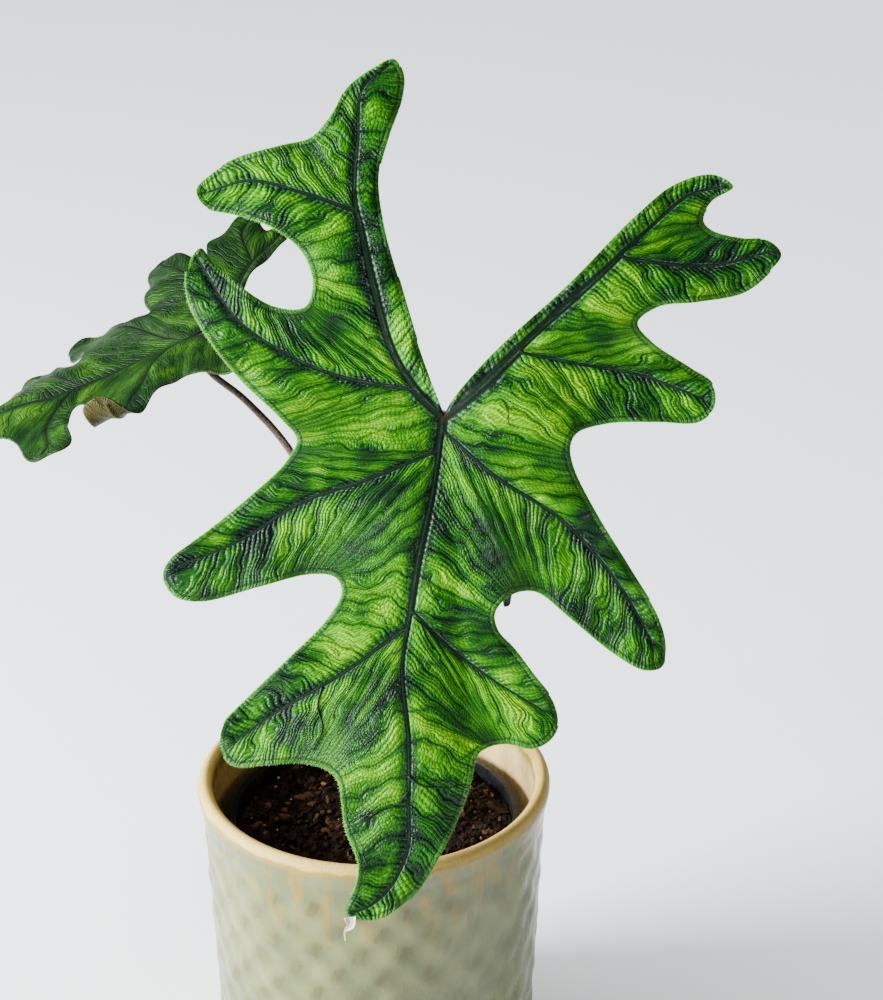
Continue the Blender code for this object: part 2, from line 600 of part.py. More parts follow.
def place_young(plan, height):
    """The young leaf is folded up along its midrib, and bows a little."""
    u, v = plan.T
    across, up = fold(u + 0.05 * v, height, YOUNG_FOLD, 2.0)
    return YOUNG_ORIGIN + np.column_stack((across, v, up - 0.006 * v ** 2)) @ YOUNG_AXES


def main_drawing(flat):
    """The main leaf is the drawing itself."""
    return flat


def back_drawing(flat):
    """The back leaf's own outline: the drawing made smaller, with its lobes moved a little."""
    u, v = (BACK_SIZE * flat).T
    far_horn = (0.5 + 0.5 * np.tanh((u - 12) / 12)) * (0.5 + 0.5 * np.tanh(v / 10))
    along = v * (1 - BACK_HORN * far_horn) + 1.8 * np.sin(u / 16 - 0.8)
    spots = np.column_stack((u + 1.6 * np.sin(v / 15 + 0.6), along))
    for place, way, reach in BACK_LOBES:
        away = np.linalg.norm(spots - place, axis=1)
        spots = spots + np.exp(-(away / reach) ** 2)[:, None] * way
    return spots


def young_drawing(flat):
    """The young leaf's own outline: smaller still."""
    u, v = (YOUNG_SIZE * flat).T
    return np.column_stack((u + 0.6 * np.sin(v / 7 + 1.7), v + 0.6 * np.sin(u / 6 + 0.4)))


# Name, step between ribs, rows of a rib, size, drawing, place and whether mirrored
LEAVES = (
    ("leaf_main", VEIN_STEP, (0.0, 0.3, 0.68, 1.0), 1.0, main_drawing, place_main, False),
    ("leaf_back", 6.6, (0.0, 0.45, 1.0), BACK_SIZE, back_drawing, place_back, True),
    ("leaf_young", 8.5, (0.0, 1.0), YOUNG_SIZE, young_drawing, place_young, False),
)

# Stalks: course from the hole's floor to the leaf, and radii from foot to top. Each foot stands upright.
STALK_FOOT = SOIL_TOP - HOLE_DEPTH + GAP
STALK_BEND = SOIL_TOP + 6.0
STALK_SIDES = 8
STALK_STEP = 7.0
STALKS = (
    ("stalk_main", (5.0, -4.5), ((6.2, -3.0, 128.0), (12.0, 7.0, 180.0), (19.5, 13.0, 226.0),
                                 (23.4, 7.0, 247.5)),
     (3.4, 3.0, 2.4, 1.9, 1.7)),
    ("stalk_back", (-5.0, 3.5), ((-5.5, 9.0, 138.0), (-9.5, 31.0, 181.0), (-29.0, 58.0, 213.0),
                                 (-45.4, 70.4, 227.4), (-58.6, 77.8, 236.0)),
     (3.0, 2.4, 1.7, 1.3, 1.2)),
    ("stalk_young", (4.5, 5.5), ((6.0, 10.0, 130.0), (14.0, 28.0, 172.0), (28.0, 43.0, 201.0)),
     (2.2, 1.8, 1.4, 1.1, 0.9)),
)


def make_leaf(name, step, shares, size, drawing, place, mirrored, material):
    """One blade. Also gives the world place under the top of its stalk, and the way out of its lower face."""
    owners, flat, out, share, half = blade_plan(step, shares, size, drawing)
    quilting = np.arange(len(owners)) % 2
    upper, lower = blade_relief(flat, out, share, half, quilting, step, size)
    spots, faces, folded = blade_mesh(owners, flat, upper, lower, place, mirrored)
    add_object(name, spots, faces, material)
    at_stalk = np.argmin(np.linalg.norm(flat[:, 0], axis=1))
    start = flat[at_stalk, :1]
    under = place(np.repeat(start, 2, axis=0), lower[at_stalk, 0] - np.array([GAP, 2.0]))
    return folded, under[0], under[1]


def build():
    """Make every piece."""
    glaze = make_material("sage_glaze", (0.50, 0.53, 0.40), 0.25)
    dark_plastic = make_material("dark_plastic", (0.03, 0.035, 0.045), 0.4)
    earth = make_material("potting_soil", (0.035, 0.02, 0.01), 0.9)
    green = make_material("leaf_green", (0.08, 0.25, 0.03), 0.35)
    brown = make_material("stalk_brown", (0.13, 0.06, 0.03), 0.45)
    make_pot(glaze)
    make_grow_pot(dark_plastic)
    make_soil([(foot, radii[0]) for _, foot, _, radii in STALKS], earth)
    for leaf, stalk in zip(LEAVES, STALKS):
        folded, top, below = make_leaf(*leaf, green)
        if folded:
            raise ValueError(f"{leaf[0]} folds over itself in {folded} places")
        name, (x, y), course, radii = stalk
        foot = ((x, y, STALK_FOOT), (x, y, STALK_BEND))
        make_stalk(name, foot + course + (tuple(below), tuple(top)), radii, brown)


for old in list(bpy.data.objects):
    bpy.data.objects.remove(old)
build()
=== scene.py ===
"""Looks of a jacklyn alocasia in a glazed cover pot: leaves, stalks, soil, grow pot and cover pot.

The world is in metres with +Z up, and the camera looks along +Y. Sizes below are in millimetres. A leaf is
drawn flat first: u to the right, v away from the leaf's tip, and its height stands out of the upper face.
"""

import math

import bpy
import numpy as np
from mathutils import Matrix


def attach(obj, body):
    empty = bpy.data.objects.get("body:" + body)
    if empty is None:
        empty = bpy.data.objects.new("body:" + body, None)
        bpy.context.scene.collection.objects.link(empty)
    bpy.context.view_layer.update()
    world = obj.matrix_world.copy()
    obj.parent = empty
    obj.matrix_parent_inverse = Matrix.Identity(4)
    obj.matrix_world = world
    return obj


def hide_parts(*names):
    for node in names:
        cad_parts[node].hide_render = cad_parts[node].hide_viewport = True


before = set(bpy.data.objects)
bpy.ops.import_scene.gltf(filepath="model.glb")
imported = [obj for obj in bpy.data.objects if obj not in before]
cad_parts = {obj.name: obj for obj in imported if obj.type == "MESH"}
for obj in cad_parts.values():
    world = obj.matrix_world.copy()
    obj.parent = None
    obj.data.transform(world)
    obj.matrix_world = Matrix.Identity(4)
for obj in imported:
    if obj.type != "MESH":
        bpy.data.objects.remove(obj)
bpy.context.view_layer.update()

MM = 0.001
GAP = 0.3
POINT = 0.01  # radius of the ring that closes a turned surface

# Cover pot
POT_HEIGHT = 120.0
POT_RADIUS = 60.0
RIM_WIDTH = 5.4
BOWL_RADIUS = POT_RADIUS - RIM_WIDTH
WALL_LOW, WALL_HIGH = 7.0, 110.0
WALL_TOP_RADIUS = 58.6
WALL_LOW_RADIUS = 54.6
FOOT_RADIUS = 49.0
FLAT_RADIUS = 24.0
FLOOR = 6.0
# The rounded parts of the profile, as radius and height, each with the spacing of its points
FOOT_CURVE = ((FOOT_RADIUS, 0.0), (FOOT_RADIUS + 3.4, 1.6), (WALL_LOW_RADIUS, WALL_LOW)), 0.8
RIM_CURVE = ((WALL_TOP_RADIUS, WALL_HIGH), (POT_RADIUS - 0.4, POT_HEIGHT - 6), (POT_RADIUS, POT_HEIGHT - 3),
             (POT_RADIUS - 1.2, POT_HEIGHT - 0.6), (POT_RADIUS - RIM_WIDTH / 2, POT_HEIGHT),
             (BOWL_RADIUS + 0.8, POT_HEIGHT - 1.2), (BOWL_RADIUS, POT_HEIGHT - 4)), 0.7
BOWL_CURVE = ((BOWL_RADIUS, POT_HEIGHT - 4), (BOWL_RADIUS - 0.4, POT_HEIGHT - 24),
              (WALL_LOW_RADIUS - 5, 18.0), (WALL_LOW_RADIUS - 8, FLOOR)), 4.0
POT_SIDES, WALL_ROWS = 360, 122
DENTS_ROUND = 24
DENT_ROWS = 13
DENT_DEPTH = 0.8
STROKE_TWIST = 1.4  # how far a dent's side leans from its foot to its top, in radians of the net
THROW_DEPTH, THROW_PACE = 0.12, 2.1  # rings that throwing leaves on the wall

# Grow pot and soil
GROW_TOP = 104.0
GROW_RADIUS = 50.0
GROW_FOOT_RADIUS = 42.0
GROW_WALL = 1.1
LIP_STEP = 1.2
SOIL_TOP = 100.0
SOIL_SIDES, SOIL_RINGS = 220, 72
HOLE_DEPTH = 24.0

# Blade
THICKNESS = 0.8
GROOVE_LEAST = 0.35  # how far a vein is sunk in the upper face
GROOVE_BY_WIDTH = 0.4  # and more, for each millimetre of its half width
CORD_BY_WIDTH = 0.22  # how high its round cord stands in the groove, for each millimetre of its half width
KEEL = 1.15
QUILT = 0.75  # bulge between two side veins
EDGE_DROP = 0.7
EDGE_WAVE = 1.3
WAVE_LENGTH = 27.0
EDGE_ROUND = 0.35
VEIN_LIMIT = 0.3  # the largest share of a rib that its vein takes up
VEIN_ROWS = (0.0, 0.35, 0.7)  # where rows lie on the vein, in half widths

# Ribs from the veins to the edge
RIB_LEAN = 0.5
LEAN_LIMIT = 11.0
TIP_FAN = 2
RIB_SHORT = 0.72
RIB_EVEN = 9.0
COURSE_STEP, OUTLINE_STEP = 0.25, 0.15

# Fine veins
LINES_IN_RIB = 2.5  # fine veins for each of the source's ribs
BOLD_EVERY = 5.0  # fine veins from one bold one to the next
LINE_DEPTH, LINE_WIDTH = 0.08, 0.45
SWAY = 0.5  # how far a rib's crest strays, in ribs
STRAY_ROOM = 2.0  # fine veins closer than this wander freely, and wider ones less
# How fine veins stray: by how much, how fast from rib to rib, over what length, and which draw
STRAYS = ((0.55, 0.5, 4.0, 1), (0.8, 0.35, 14.0, 0), (0.32, 2.0, 24.0, 2))

# Brightness over the blade, which its colour follows
BRIGHT_BASE = 0.46
# Painted light and shade: paler on the raised crests between side veins and darker in the valleys, following
# the quilted relief
PAINTED_CREST_SHADING = 0.07
BRIGHT_STREAK = 0.13
BRIGHT_BAY = 0.26  # where a bay's ribs fan out
BRIGHT_BROAD = 0.08  # where ribs are long
DARK_FAR = 0.06  # away from the blade's middle
# Painted shade: how much darker the blade is in the sunken groove along each vein
PAINTED_SHADE_BY_VEIN = 0.32
BRIGHT_MOST = 0.84
# Drawn patches: by how much, how wide, and which draw
PATCHES = ((0.24, 12.0, 3), (0.15, 5.0, 4))
# Where the blade is paler or darker than its drawn patches: a place, its reach, and by how much
SHADES = (((42, -46), 22, -0.19), ((-24, -92), 13, 0.1), ((49, 26), 10, 0.2), ((-34, -38), 14, 0.08),
          ((-20, 98), 9, 0.14), ((-53, -35), 12, -0.13))

# Small side veins that the net of ribs leaves out: the left leg's, and one to each side of the tip's foot
SMALL_VEINS = (
    ((-38, -84), (-39.5, -90), (-38, -97), (-41, -104)),
    ((-11.2, -117), (-15, -121), (-19, -122), (-24.5, -125.5), (-29, -128)),
    ((-11.2, -112), (-8, -114.5), (-4.5, -115.5), (2, -115.5), (6.5, -114.5)),
)
SMALL_VEIN_RADIUS, SMALL_VEIN_TAPER = 0.42, 0.25
CORD_SIDES, CORD_STEP, CORD_RAISED = 8, 0.8, 0.1

# Hairs on the edge
HAIR_SPACING, HAIR_REACH, HAIR_RADIUS, HAIR_ROOT = 0.55, 0.7, 0.055, 0.1
HAIR_SEED = 3

# The eye's axis meets the main leaf's plane here, and stands this far off it
SIGHT_U, SIGHT_V = -0.8, -25.6
SIGHT_DISTANCE = 765.0
VIEW_PITCH = math.radians(25.2)

# Each vein: the vein that it leaves, its half width at root and tip, and its course
VEINS = {
    "midrib": (None, (1.8, 0.5), ((0, 0), (-3, -21), (-8, -45.5), (-10.5, -61.5), (-13, -77.5),
                                  (-11, -101.5), (-11, -119.5), (-11, -133.5), (-13.5, -141),
                                  (-17, -147), (-22.5, -152), (-28, -154.5))),
    "left_horn": ("midrib", (2.2, 0.4), ((0, 0), (-9, 8.5), (-16, 20), (-21.5, 39.5), (-25.5, 57.5),
                                         (-28, 68.5), (-27, 87.5), (-25.5, 102.5), (-17.5, 109.5))),
    "left_horn_outer": ("left_horn", (1.1, 0.5), ((-27.5, 64.5), (-43.5, 70), (-60, 74), (-73.5, 70.3))),
    "left_horn_inner": ("left_horn", (1.3, 0.5), ((-9, 8.5), (-29.5, 12), (-46, 18), (-64.5, 30.5),
                                                  (-77, 49.5))),
    "left_arm": ("midrib", (1.3, 0.5), ((-2, -10.5), (-23, -19), (-44.5, -26.5), (-63, -38),
                                        (-82.5, -46.5))),
    "left_leg": ("midrib", (1.2, 0.5), ((-12, -66), (-31.5, -80), (-50.5, -91), (-64.5, -100.5))),
    "right_leg": ("midrib", (1.2, 0.5), ((-10, -60.5), (0.5, -71), (16, -82.5), (30, -91))),
    "right_arm": ("midrib", (1.4, 0.5), ((-0.5, -4), (15.5, -18), (37, -32), (55.5, -53.5), (64.5, -69.5))),
    "right_horn": ("midrib", (2.5, 0.4), ((0, 0), (12.5, 10.5), (31, 28.5), (47, 43), (62, 57), (76, 69),
                                          (86, 72))),
    "right_horn_inner": ("right_horn", (1.1, 0.5), ((23.5, 20.5), (41, 17), (60.5, 13.5), (80.5, 6))),
    "right_horn_outer": ("right_horn", (1.1, 0.5), ((55.5, 50), (69.5, 48), (84, 47.5), (101, 51.5))),
}

# The place on a vein that faces the bottom of each bay between two lobes
BAY_ROOTS = {
    "horn_bay": ("left_horn", (-27, 74.5)),
    "shoulder_bay": ("left_horn", (-20.5, 36)),
    "left_hip_bay": ("midrib", (-9, -54)),
    "left_foot_bay": ("midrib", (-11, -107)),
    "right_foot_bay": ("midrib", (-12, -96)),
    "right_hip_bay": ("midrib", (-7, -44.5)),
    "right_shoulder_bay": ("right_horn", (8, 6)),
    "inner_bay": ("right_horn", (42, 38)),
    "outer_bay": ("right_horn", (71, 65)),
}

# The edge, walked once round from the notch with the blade on the left hand. Each run goes out to a lobe's
# tip or back to a bay, with the walk along the veins that it faces.
OUT, BACK = 1, -1
EDGE_RUNS = (
    (OUT, ((0, 1), (-6.5, 19), (-13, 40.5), (-18.5, 60.5), (-20, 76), (-17, 88), (-13, 99.5), (-12.5, 107)),
     (("left_horn", "root", "tip"),)),
    (BACK, ((-15.5, 112), (-22.5, 109), (-30.5, 103), (-35, 95)),
     (("left_horn", "tip", "horn_bay"),)),
    (OUT, ((-41.5, 87.5), (-51, 85), (-65, 81), (-73, 76)),
     (("left_horn", "horn_bay", "left_horn_outer"), ("left_horn_outer", "root", "tip"))),
    (BACK, ((-77.5, 71), (-74.5, 65.5), (-64.5, 63), (-52.5, 58.5), (-44, 51)),
     (("left_horn_outer", "tip", "root"), ("left_horn", "left_horn_outer", "shoulder_bay"))),
    (OUT, ((-41, 41.5), (-43.5, 34.5), (-52.5, 34.5), (-63, 40.5), (-72, 48.5)),
     (("left_horn", "shoulder_bay", "left_horn_inner"), ("left_horn_inner", "root", "tip"))),
    (BACK, ((-76, 53), (-80.5, 46.5), (-80, 36), (-73.5, 24), (-63, 11), (-51, -0.5)),
     (("left_horn_inner", "tip", "root"), ("left_horn", "left_horn_inner", "root"))),
    (OUT, ((-46, -7), (-49.5, -14), (-60, -24), (-74, -35.5), (-85.5, -44)),
     (("midrib", "root", "left_arm"), ("left_arm", "root", "tip"))),
    (BACK, ((-88, -49.5), (-84, -56), (-75.5, -57.5), (-58, -53), (-41.5, -49), (-34, -50)),
     (("left_arm", "tip", "root"), ("midrib", "left_arm", "left_hip_bay"))),
    (OUT, ((-32, -54.5), (-37, -63.5), (-48.5, -75), (-62, -88), (-69, -95.5), (-70.2, -101)),
     (("midrib", "left_hip_bay", "left_leg"), ("left_leg", "root", "tip"))),
    (BACK, ((-69.8, -104.5), (-66, -108.8), (-54.5, -108.5), (-45, -108), (-36, -110.5)),
     (("left_leg", "tip", "root"), ("midrib", "left_leg", "left_foot_bay"))),
    (OUT, ((-33, -114.5), (-32, -121), (-31, -128.5), (-27, -139.5), (-28, -147)),
     (("midrib", "left_foot_bay", "tip"),)),
    (BACK, ((-31, -155), (-21, -157), (-9.5, -149.5), (-1, -136.5), (5, -124), (8.5, -114), (10.5, -105.5)),
     (("midrib", "tip", "right_foot_bay"),)),
    (OUT, ((14, -103), (19.5, -102), (27.5, -103.5), (33, -101)),
     (("midrib", "right_foot_bay", "right_leg"), ("right_leg", "root", "tip"))),
    (BACK, ((35.8, -96), (34, -88), (28, -80), (22, -72), (17, -66.5)),
     (("right_leg", "tip", "root"), ("midrib", "right_leg", "right_hip_bay"))),
    (OUT, ((16, -61), (21, -55.5), (28.5, -54.5), (39, -62.5), (52.5, -73.5), (62.5, -79)),
     (("midrib", "right_hip_bay", "right_arm"), ("right_arm", "root", "tip"))),
    (BACK, ((68, -78), (69.5, -72.5), (67.5, -63), (58.5, -47.5), (48, -30.5), (40.5, -15.5)),
     (("right_arm", "tip", "root"), ("midrib", "right_arm", "root"),
      ("right_horn", "root", "right_shoulder_bay"))),
    (OUT, ((39.5, -9), (41.5, -5), (51, -2), (66.5, -1.5), (79.5, -1.5)),
     (("right_horn", "right_shoulder_bay", "right_horn_inner"), ("right_horn_inner", "root", "tip"))),
    (BACK, ((84.5, 3), (84, 10.5), (77, 15.5), (65, 23.5)),
     (("right_horn_inner", "tip", "root"), ("right_horn", "right_horn_inner", "inner_bay"))),
    (OUT, ((60.5, 29.5), (67, 34.5), (79.5, 36), (94, 39), (102.5, 46)),
     (("right_horn", "inner_bay", "right_horn_outer"), ("right_horn_outer", "root", "tip"))),
    (BACK, ((105.5, 51), (101, 55.5), (93, 56), (83.5, 58.5)),
     (("right_horn_outer", "tip", "root"), ("right_horn", "right_horn_outer", "outer_bay"))),
    (OUT, ((81, 61.5), (84, 67.5)),
     (("right_horn", "outer_bay", "tip"),)),
    (BACK, ((90.5, 72), (84, 76), (72, 73), (59.5, 63), (38.5, 41.5), (14, 19), (2.5, 5.5)),
     (("right_horn", "tip", "root"),)),
)


def ease(value, low, high):
    """0 below low, 1 above high, and an even S between."""
    t = np.clip((value - low) / (high - low), 0.0, 1.0)
    return t * t * (3 - 2 * t)


def mottle(x, y, seed):
    """Smooth noise from -1 to 1: drawn values on a square net, blended by an S between its corners."""
    net = np.random.default_rng(seed).uniform(-1, 1, (64, 64))
    x, y = np.broadcast_arrays(np.asarray(x, float), np.asarray(y, float))
    i, j = np.floor(x).astype(int), np.floor(y).astype(int)
    s, t = ease(x - i, 0.0, 1.0), ease(y - j, 0.0, 1.0)
    low = net[i % 64, j % 64] * (1 - s) + net[(i + 1) % 64, j % 64] * s
    high = net[i % 64, (j + 1) % 64] * (1 - s) + net[(i + 1) % 64, (j + 1) % 64] * s
    return low * (1 - t) + high * t


def unit(ways):
    """Each way made one long."""
    return ways / np.maximum(np.linalg.norm(ways, axis=-1, keepdims=True), 1e-9)


def smooth(points, step):
    """Points about every step along a rounded curve through the given ones, and where those lie in it."""
    given = np.array(points, float)
    gap = np.sqrt(np.linalg.norm(np.diff(given, axis=0), axis=1))[:, None]
    slope = np.diff(given, axis=0) / gap
    turn = (slope[:-1] * gap[1:] + slope[1:] * gap[:-1]) / (gap[:-1] + gap[1:])
    tangent = np.vstack((slope[:1], turn, slope[-1:]))
    curve, stops = [given[:1]], [0]
    for i, (a, b) in enumerate(zip(given, given[1:])):
        count = max(2, math.ceil(np.linalg.norm(b - a) / step))
        t = np.linspace(0, 1, count + 1)[1:, None]
        leave, arrive = tangent[i] * gap[i], tangent[i + 1] * gap[i]
        curve.append(a * (1 + 2 * t) * (1 - t) ** 2 + leave * t * (1 - t) ** 2
                     + b * t * t * (3 - 2 * t) + arrive * t * t * (t - 1))
        stops.append(stops[-1] + count)
    return np.vstack(curve), stops


def lengths(line):
    """Length along a line up to each of its points."""
    return np.concatenate(([0.0], np.cumsum(np.linalg.norm(np.diff(line, axis=0), axis=1))))


def places_at(wanted, along, line):
    """The places on a line where the length along it is as wanted."""
    return np.column_stack([np.interp(wanted, along, part) for part in line.T])


def lay_veins(step, split, size, warp):
    """The places along every vein where ribs leave: the source's places, each with split ribs."""
    lines, marks = {}, {}
    for name, (_, _, course) in VEINS.items():
        line = warp(smooth(course, COURSE_STEP)[0])
        along = lengths(line)
        lines[name] = line, along
        marks[name] = {"root": 0.0, "tip": along[-1]}

    def mark(vein, name, place):
        """Note how far along a vein a place lies."""
        line, along = lines[vein]
        marks[vein][name] = along[np.argmin(np.linalg.norm(line - warp(np.array([place], float)), axis=1))]

    for name, (parent, _, course) in VEINS.items():
        if parent:
            mark(parent, name, course[0])
    for name, (vein, place) in BAY_ROOTS.items():
        mark(vein, name, place)

    spots, halves, runs = [], [], {}
    for name, (parent, (root_half, tip_half), _) in VEINS.items():
        line, along = lines[name]
        stops = sorted(set(marks[name].values()))
        places = [0.0]
        for a, b in zip(stops, stops[1:]):
            places += list(np.linspace(a, b, split * max(1, round((b - a) / step)) + 1)[1:])
        places = np.array(places)
        first = 0
        numbers = []
        if parent:
            at, owned = runs[parent]
            numbers.append(owned[np.argmin(abs(at - marks[parent][name]))])
            first = 1
        numbers += list(range(len(spots), len(spots) + len(places) - first))
        own = places[first:]
        spots += list(places_at(own, along, line))
        halves += list(size * (root_half + (tip_half - root_half) * own / along[-1]))
        runs[name] = places, numbers
    return np.array(spots), np.array(halves), runs, marks


def walk(route, runs, marks, split):
    """The numbers of the vein places passed on a route."""
    passed = []
    for vein, start, end in route:
        at, numbers = runs[vein]
        a, b = (int(np.argmin(abs(at - marks[vein][name]))) for name in (start, end))
        leg = numbers[a:b + 1] if a <= b else numbers[b:a + 1][::-1]
        passed += leg if not passed else leg[1:]
    if route[0][1] == "tip":
        passed = passed[:1] * TIP_FAN * split + passed
    if route[-1][2] == "tip":
        passed = passed + passed[-1:] * TIP_FAN * split
    return passed


def face_edge(spots, edge, lean, step, split):
    """For each vein place the facing place on the edge: short ribs that lean to the tip and never cross."""
    near = np.linalg.norm(edge[None] - spots[:, None], axis=2).min(axis=1)
    walked = lengths(spots)
    left = walked[-1] - walked if lean == OUT else walked
    shift = RIB_LEAN * np.minimum(np.minimum(near, LEAN_LIMIT), left)
    target = spots + lean * shift[:, None] * unit(np.gradient(spots, axis=0))
    last = len(edge) - 1
    share = np.linalg.norm(edge[None] - target[:, None], axis=2).argmin(axis=1) / last
    share[0], share[-1] = 0.0, 1.0
    share = np.maximum.accumulate(share)
    reach = min(split * max(1, round(RIB_EVEN / step)), len(share) - 1)
    padded = np.concatenate((-share[reach:0:-1], share, 2 - share[-2:-reach - 2:-1]))
    share = np.convolve(padded, np.ones(2 * reach + 1) / (2 * reach + 1), "valid")
    share = RIB_SHORT * share + (1 - RIB_SHORT) * np.linspace(0, 1, len(share))
    return places_at(share * last, np.arange(last + 1), edge)


def blade_ribs(step, split, size, warp):
    """Each rib's vein place number, root, edge place, half width of vein, and distance from a bay."""
    spots, halves, runs, marks = lay_veins(step, split, size, warp)
    outline = [point for _, points, _ in EDGE_RUNS for point in points] + [EDGE_RUNS[0][1][0]]
    dense, stops = smooth(outline, OUTLINE_STEP)
    dense = warp(dense)
    first, owners, edges, from_bay = 0, [], [], []
    for lean, points, route in EDGE_RUNS:
        numbers = walk(route, runs, marks, split)
        stretch = dense[stops[first]:stops[first + len(points)] + 1]
        edges.append(face_edge(spots[numbers], stretch, lean, step, split)[:-1])
        owners += numbers[:-1]
        count = np.arange(len(numbers) - 1) * step / split
        from_bay.append(count if lean == OUT else count[-1] - count)
        first += len(points)
    # The notch isn't a bay, so the runs beside it count as far from one
    from_bay[0] += 1000.0
    from_bay[-1] += 1000.0
    owners = np.array(owners)
    return owners, spots[owners], np.vstack(edges), halves[owners], np.concatenate(from_bay)


def blade_surface(grid, size, warp, seed):
    """The blade's two faces over the flat plan, on a grid of ribs and rows, with what its colour follows.

    Height of the upper face = groove over the vein + cord in the groove + ribs high and low by turns
    + falling, waving edge - fine veins at whole line numbers. The lower face follows it, with keels.
    """
    step, split, rows = grid
    owners, root, edge, half, from_bay = blade_ribs(step, split, size, warp)
    way = edge - root
    length = np.linalg.norm(way, axis=1)[:, None]
    wide = half[:, None]
    vein_side = np.minimum(wide, VEIN_LIMIT * length)
    outer = vein_side + (length - vein_side) * np.linspace(0, 1, rows) ** 0.9
    outer[:, -1:] -= np.minimum(EDGE_ROUND, 0.2 * length)
    out = np.hstack((vein_side * VEIN_ROWS, outer))
    flat = root[:, None] + way[:, None] * (out / length)[..., None]
    share = np.clip((out - vein_side) / (length - vein_side), 0, 1)
    rib = np.arange(len(owners))[:, None] / split

    def by_rib(pace, reach, draw):
        """Noise that runs along the ribs."""
        return mottle(rib * pace, out / (reach * size), seed + draw)

    def by_place(reach, draw):
        """Noise over the flat plan."""
        return mottle(*np.moveaxis(flat / (reach * size), -1, 0), seed + draw)

    between = np.linalg.norm(np.roll(flat, -1, axis=0) - np.roll(flat, 1, axis=0), axis=2) * split / 2
    room = np.minimum(1.0, between / step)
    pitch = between / LINES_IN_RIB
    calm = ease(out, 0, 7 * size) * np.minimum(1.0, STRAY_ROOM * size / np.maximum(pitch, 1e-6))
    sway = SWAY * (by_rib(0.3, 8, 7) + 0.6 * by_place(4, 8))
    stray = sum(much * by_rib(pace, reach, draw) for much, pace, reach, draw in STRAYS)
    line = (rib + sway * calm) * LINES_IN_RIB + stray * calm
    crest = -np.cos(math.pi * line / LINES_IN_RIB)
    swell = np.sin(math.pi * share ** 0.8)

    sunk = GROOVE_LEAST * size + GROOVE_BY_WIDTH * wide
    groove = -sunk * np.exp(-(out / (1.5 * wide + 0.9 * size)) ** 2)
    cord = CORD_BY_WIDTH * wide * np.exp(-(out / (0.62 * wide)) ** 2)
    bulge = QUILT * size * room * (0.1 + 0.42 * crest) * swell
    fall = -EDGE_DROP * size * share ** 5
    edge_turn = 2 * math.pi * lengths(edge)[:, None] / (WAVE_LENGTH * size)
    wave = EDGE_WAVE * size * share ** 3 * np.sin(edge_turn)
    whole = abs(line - np.round(line)) * pitch
    clear = ease(out, wide, wide + 1.2 * size) * ease(length - out, 0.5, 2.0 * size)
    fine = np.exp(-(whole / LINE_WIDTH) ** 2) * ease(pitch, 0.6, 1.4)
    upper = groove + cord + bulge + fall + wave - LINE_DEPTH * fine * clear
    lower = upper - THICKNESS - KEEL * wide * np.exp(-(out / (1.2 * wide + 0.3)) ** 2)

    in_bay = np.exp(-(from_bay[:, None] / (6.5 * size)) ** 2) * ease(out, 1.0 * size, 9 * size)
    banded = 0.5 + 0.5 * by_rib(0.5, 17, 6)
    # Painted light and shade: the blade is paler where its quilted relief bulges up and darker where it dips
    bright = BRIGHT_BASE + PAINTED_CREST_SHADING * crest * swell ** 0.5 * room * banded
    bright += BRIGHT_STREAK * by_rib(0.8, 11, 5) * room + BRIGHT_BAY * in_bay
    bright += sum(much * by_place(reach, draw) for much, reach, draw in PATCHES)
    bright += BRIGHT_BROAD * ease(length, 12 * size, 30 * size)
    far = np.hypot(flat[..., 0], flat[..., 1] + 40 * size)
    bright -= DARK_FAR * ease(far, 45 * size, 100 * size)
    roomy = 0.4 + 0.6 * ease(length, 5 * size, 14 * size)
    # Painted shade in the grooves, for a few millimetres either side of each vein
    bright -= PAINTED_SHADE_BY_VEIN * roomy * (1 - ease(out, wide, wide + 3.2 * size))
    for place, reach, change in SHADES:
        away = np.linalg.norm(flat - np.array(place) * size, axis=-1)
        bright += change * np.exp(-(away / (reach * size)) ** 2)
    across = unit(np.gradient(edge, axis=0))
    square = abs(way[:, :1] * across[:, 1:] - way[:, 1:] * across[:, :1]) / length
    inset = (length - out) * np.maximum(square, 0.35)
    tone = np.dstack((bright, inset / size, out / wide))
    net = np.dstack((line, out / size, pitch / size))
    return owners, flat, upper, lower, tone, net


def put_mesh(name, spots, faces, material, threes=()):
    """A smooth-shaded object at the origin, from spots in metres, faces and further three-sided faces."""
    mesh = bpy.data.meshes.new(name)
    listed = np.asarray(faces).tolist() + np.asarray(threes).tolist()
    mesh.from_pydata(np.asarray(spots).tolist(), [], listed)
    mesh.polygons.foreach_set("use_smooth", np.ones(len(mesh.polygons), bool))
    mesh.materials.append(material)
    made = bpy.data.objects.new(name, mesh)
    bpy.context.scene.collection.objects.link(made)
    return made


def give(piece, name, *parts):
    """Store one number or three for each vertex, for the material to read."""
    values = np.stack(np.broadcast_arrays(*parts), axis=-1).astype(np.float32).ravel()
    kind, field = ("FLOAT", "value") if len(parts) == 1 else ("FLOAT_VECTOR", "vector")
    piece.data.attributes.new(name, kind, "POINT").data.foreach_set(field, values)


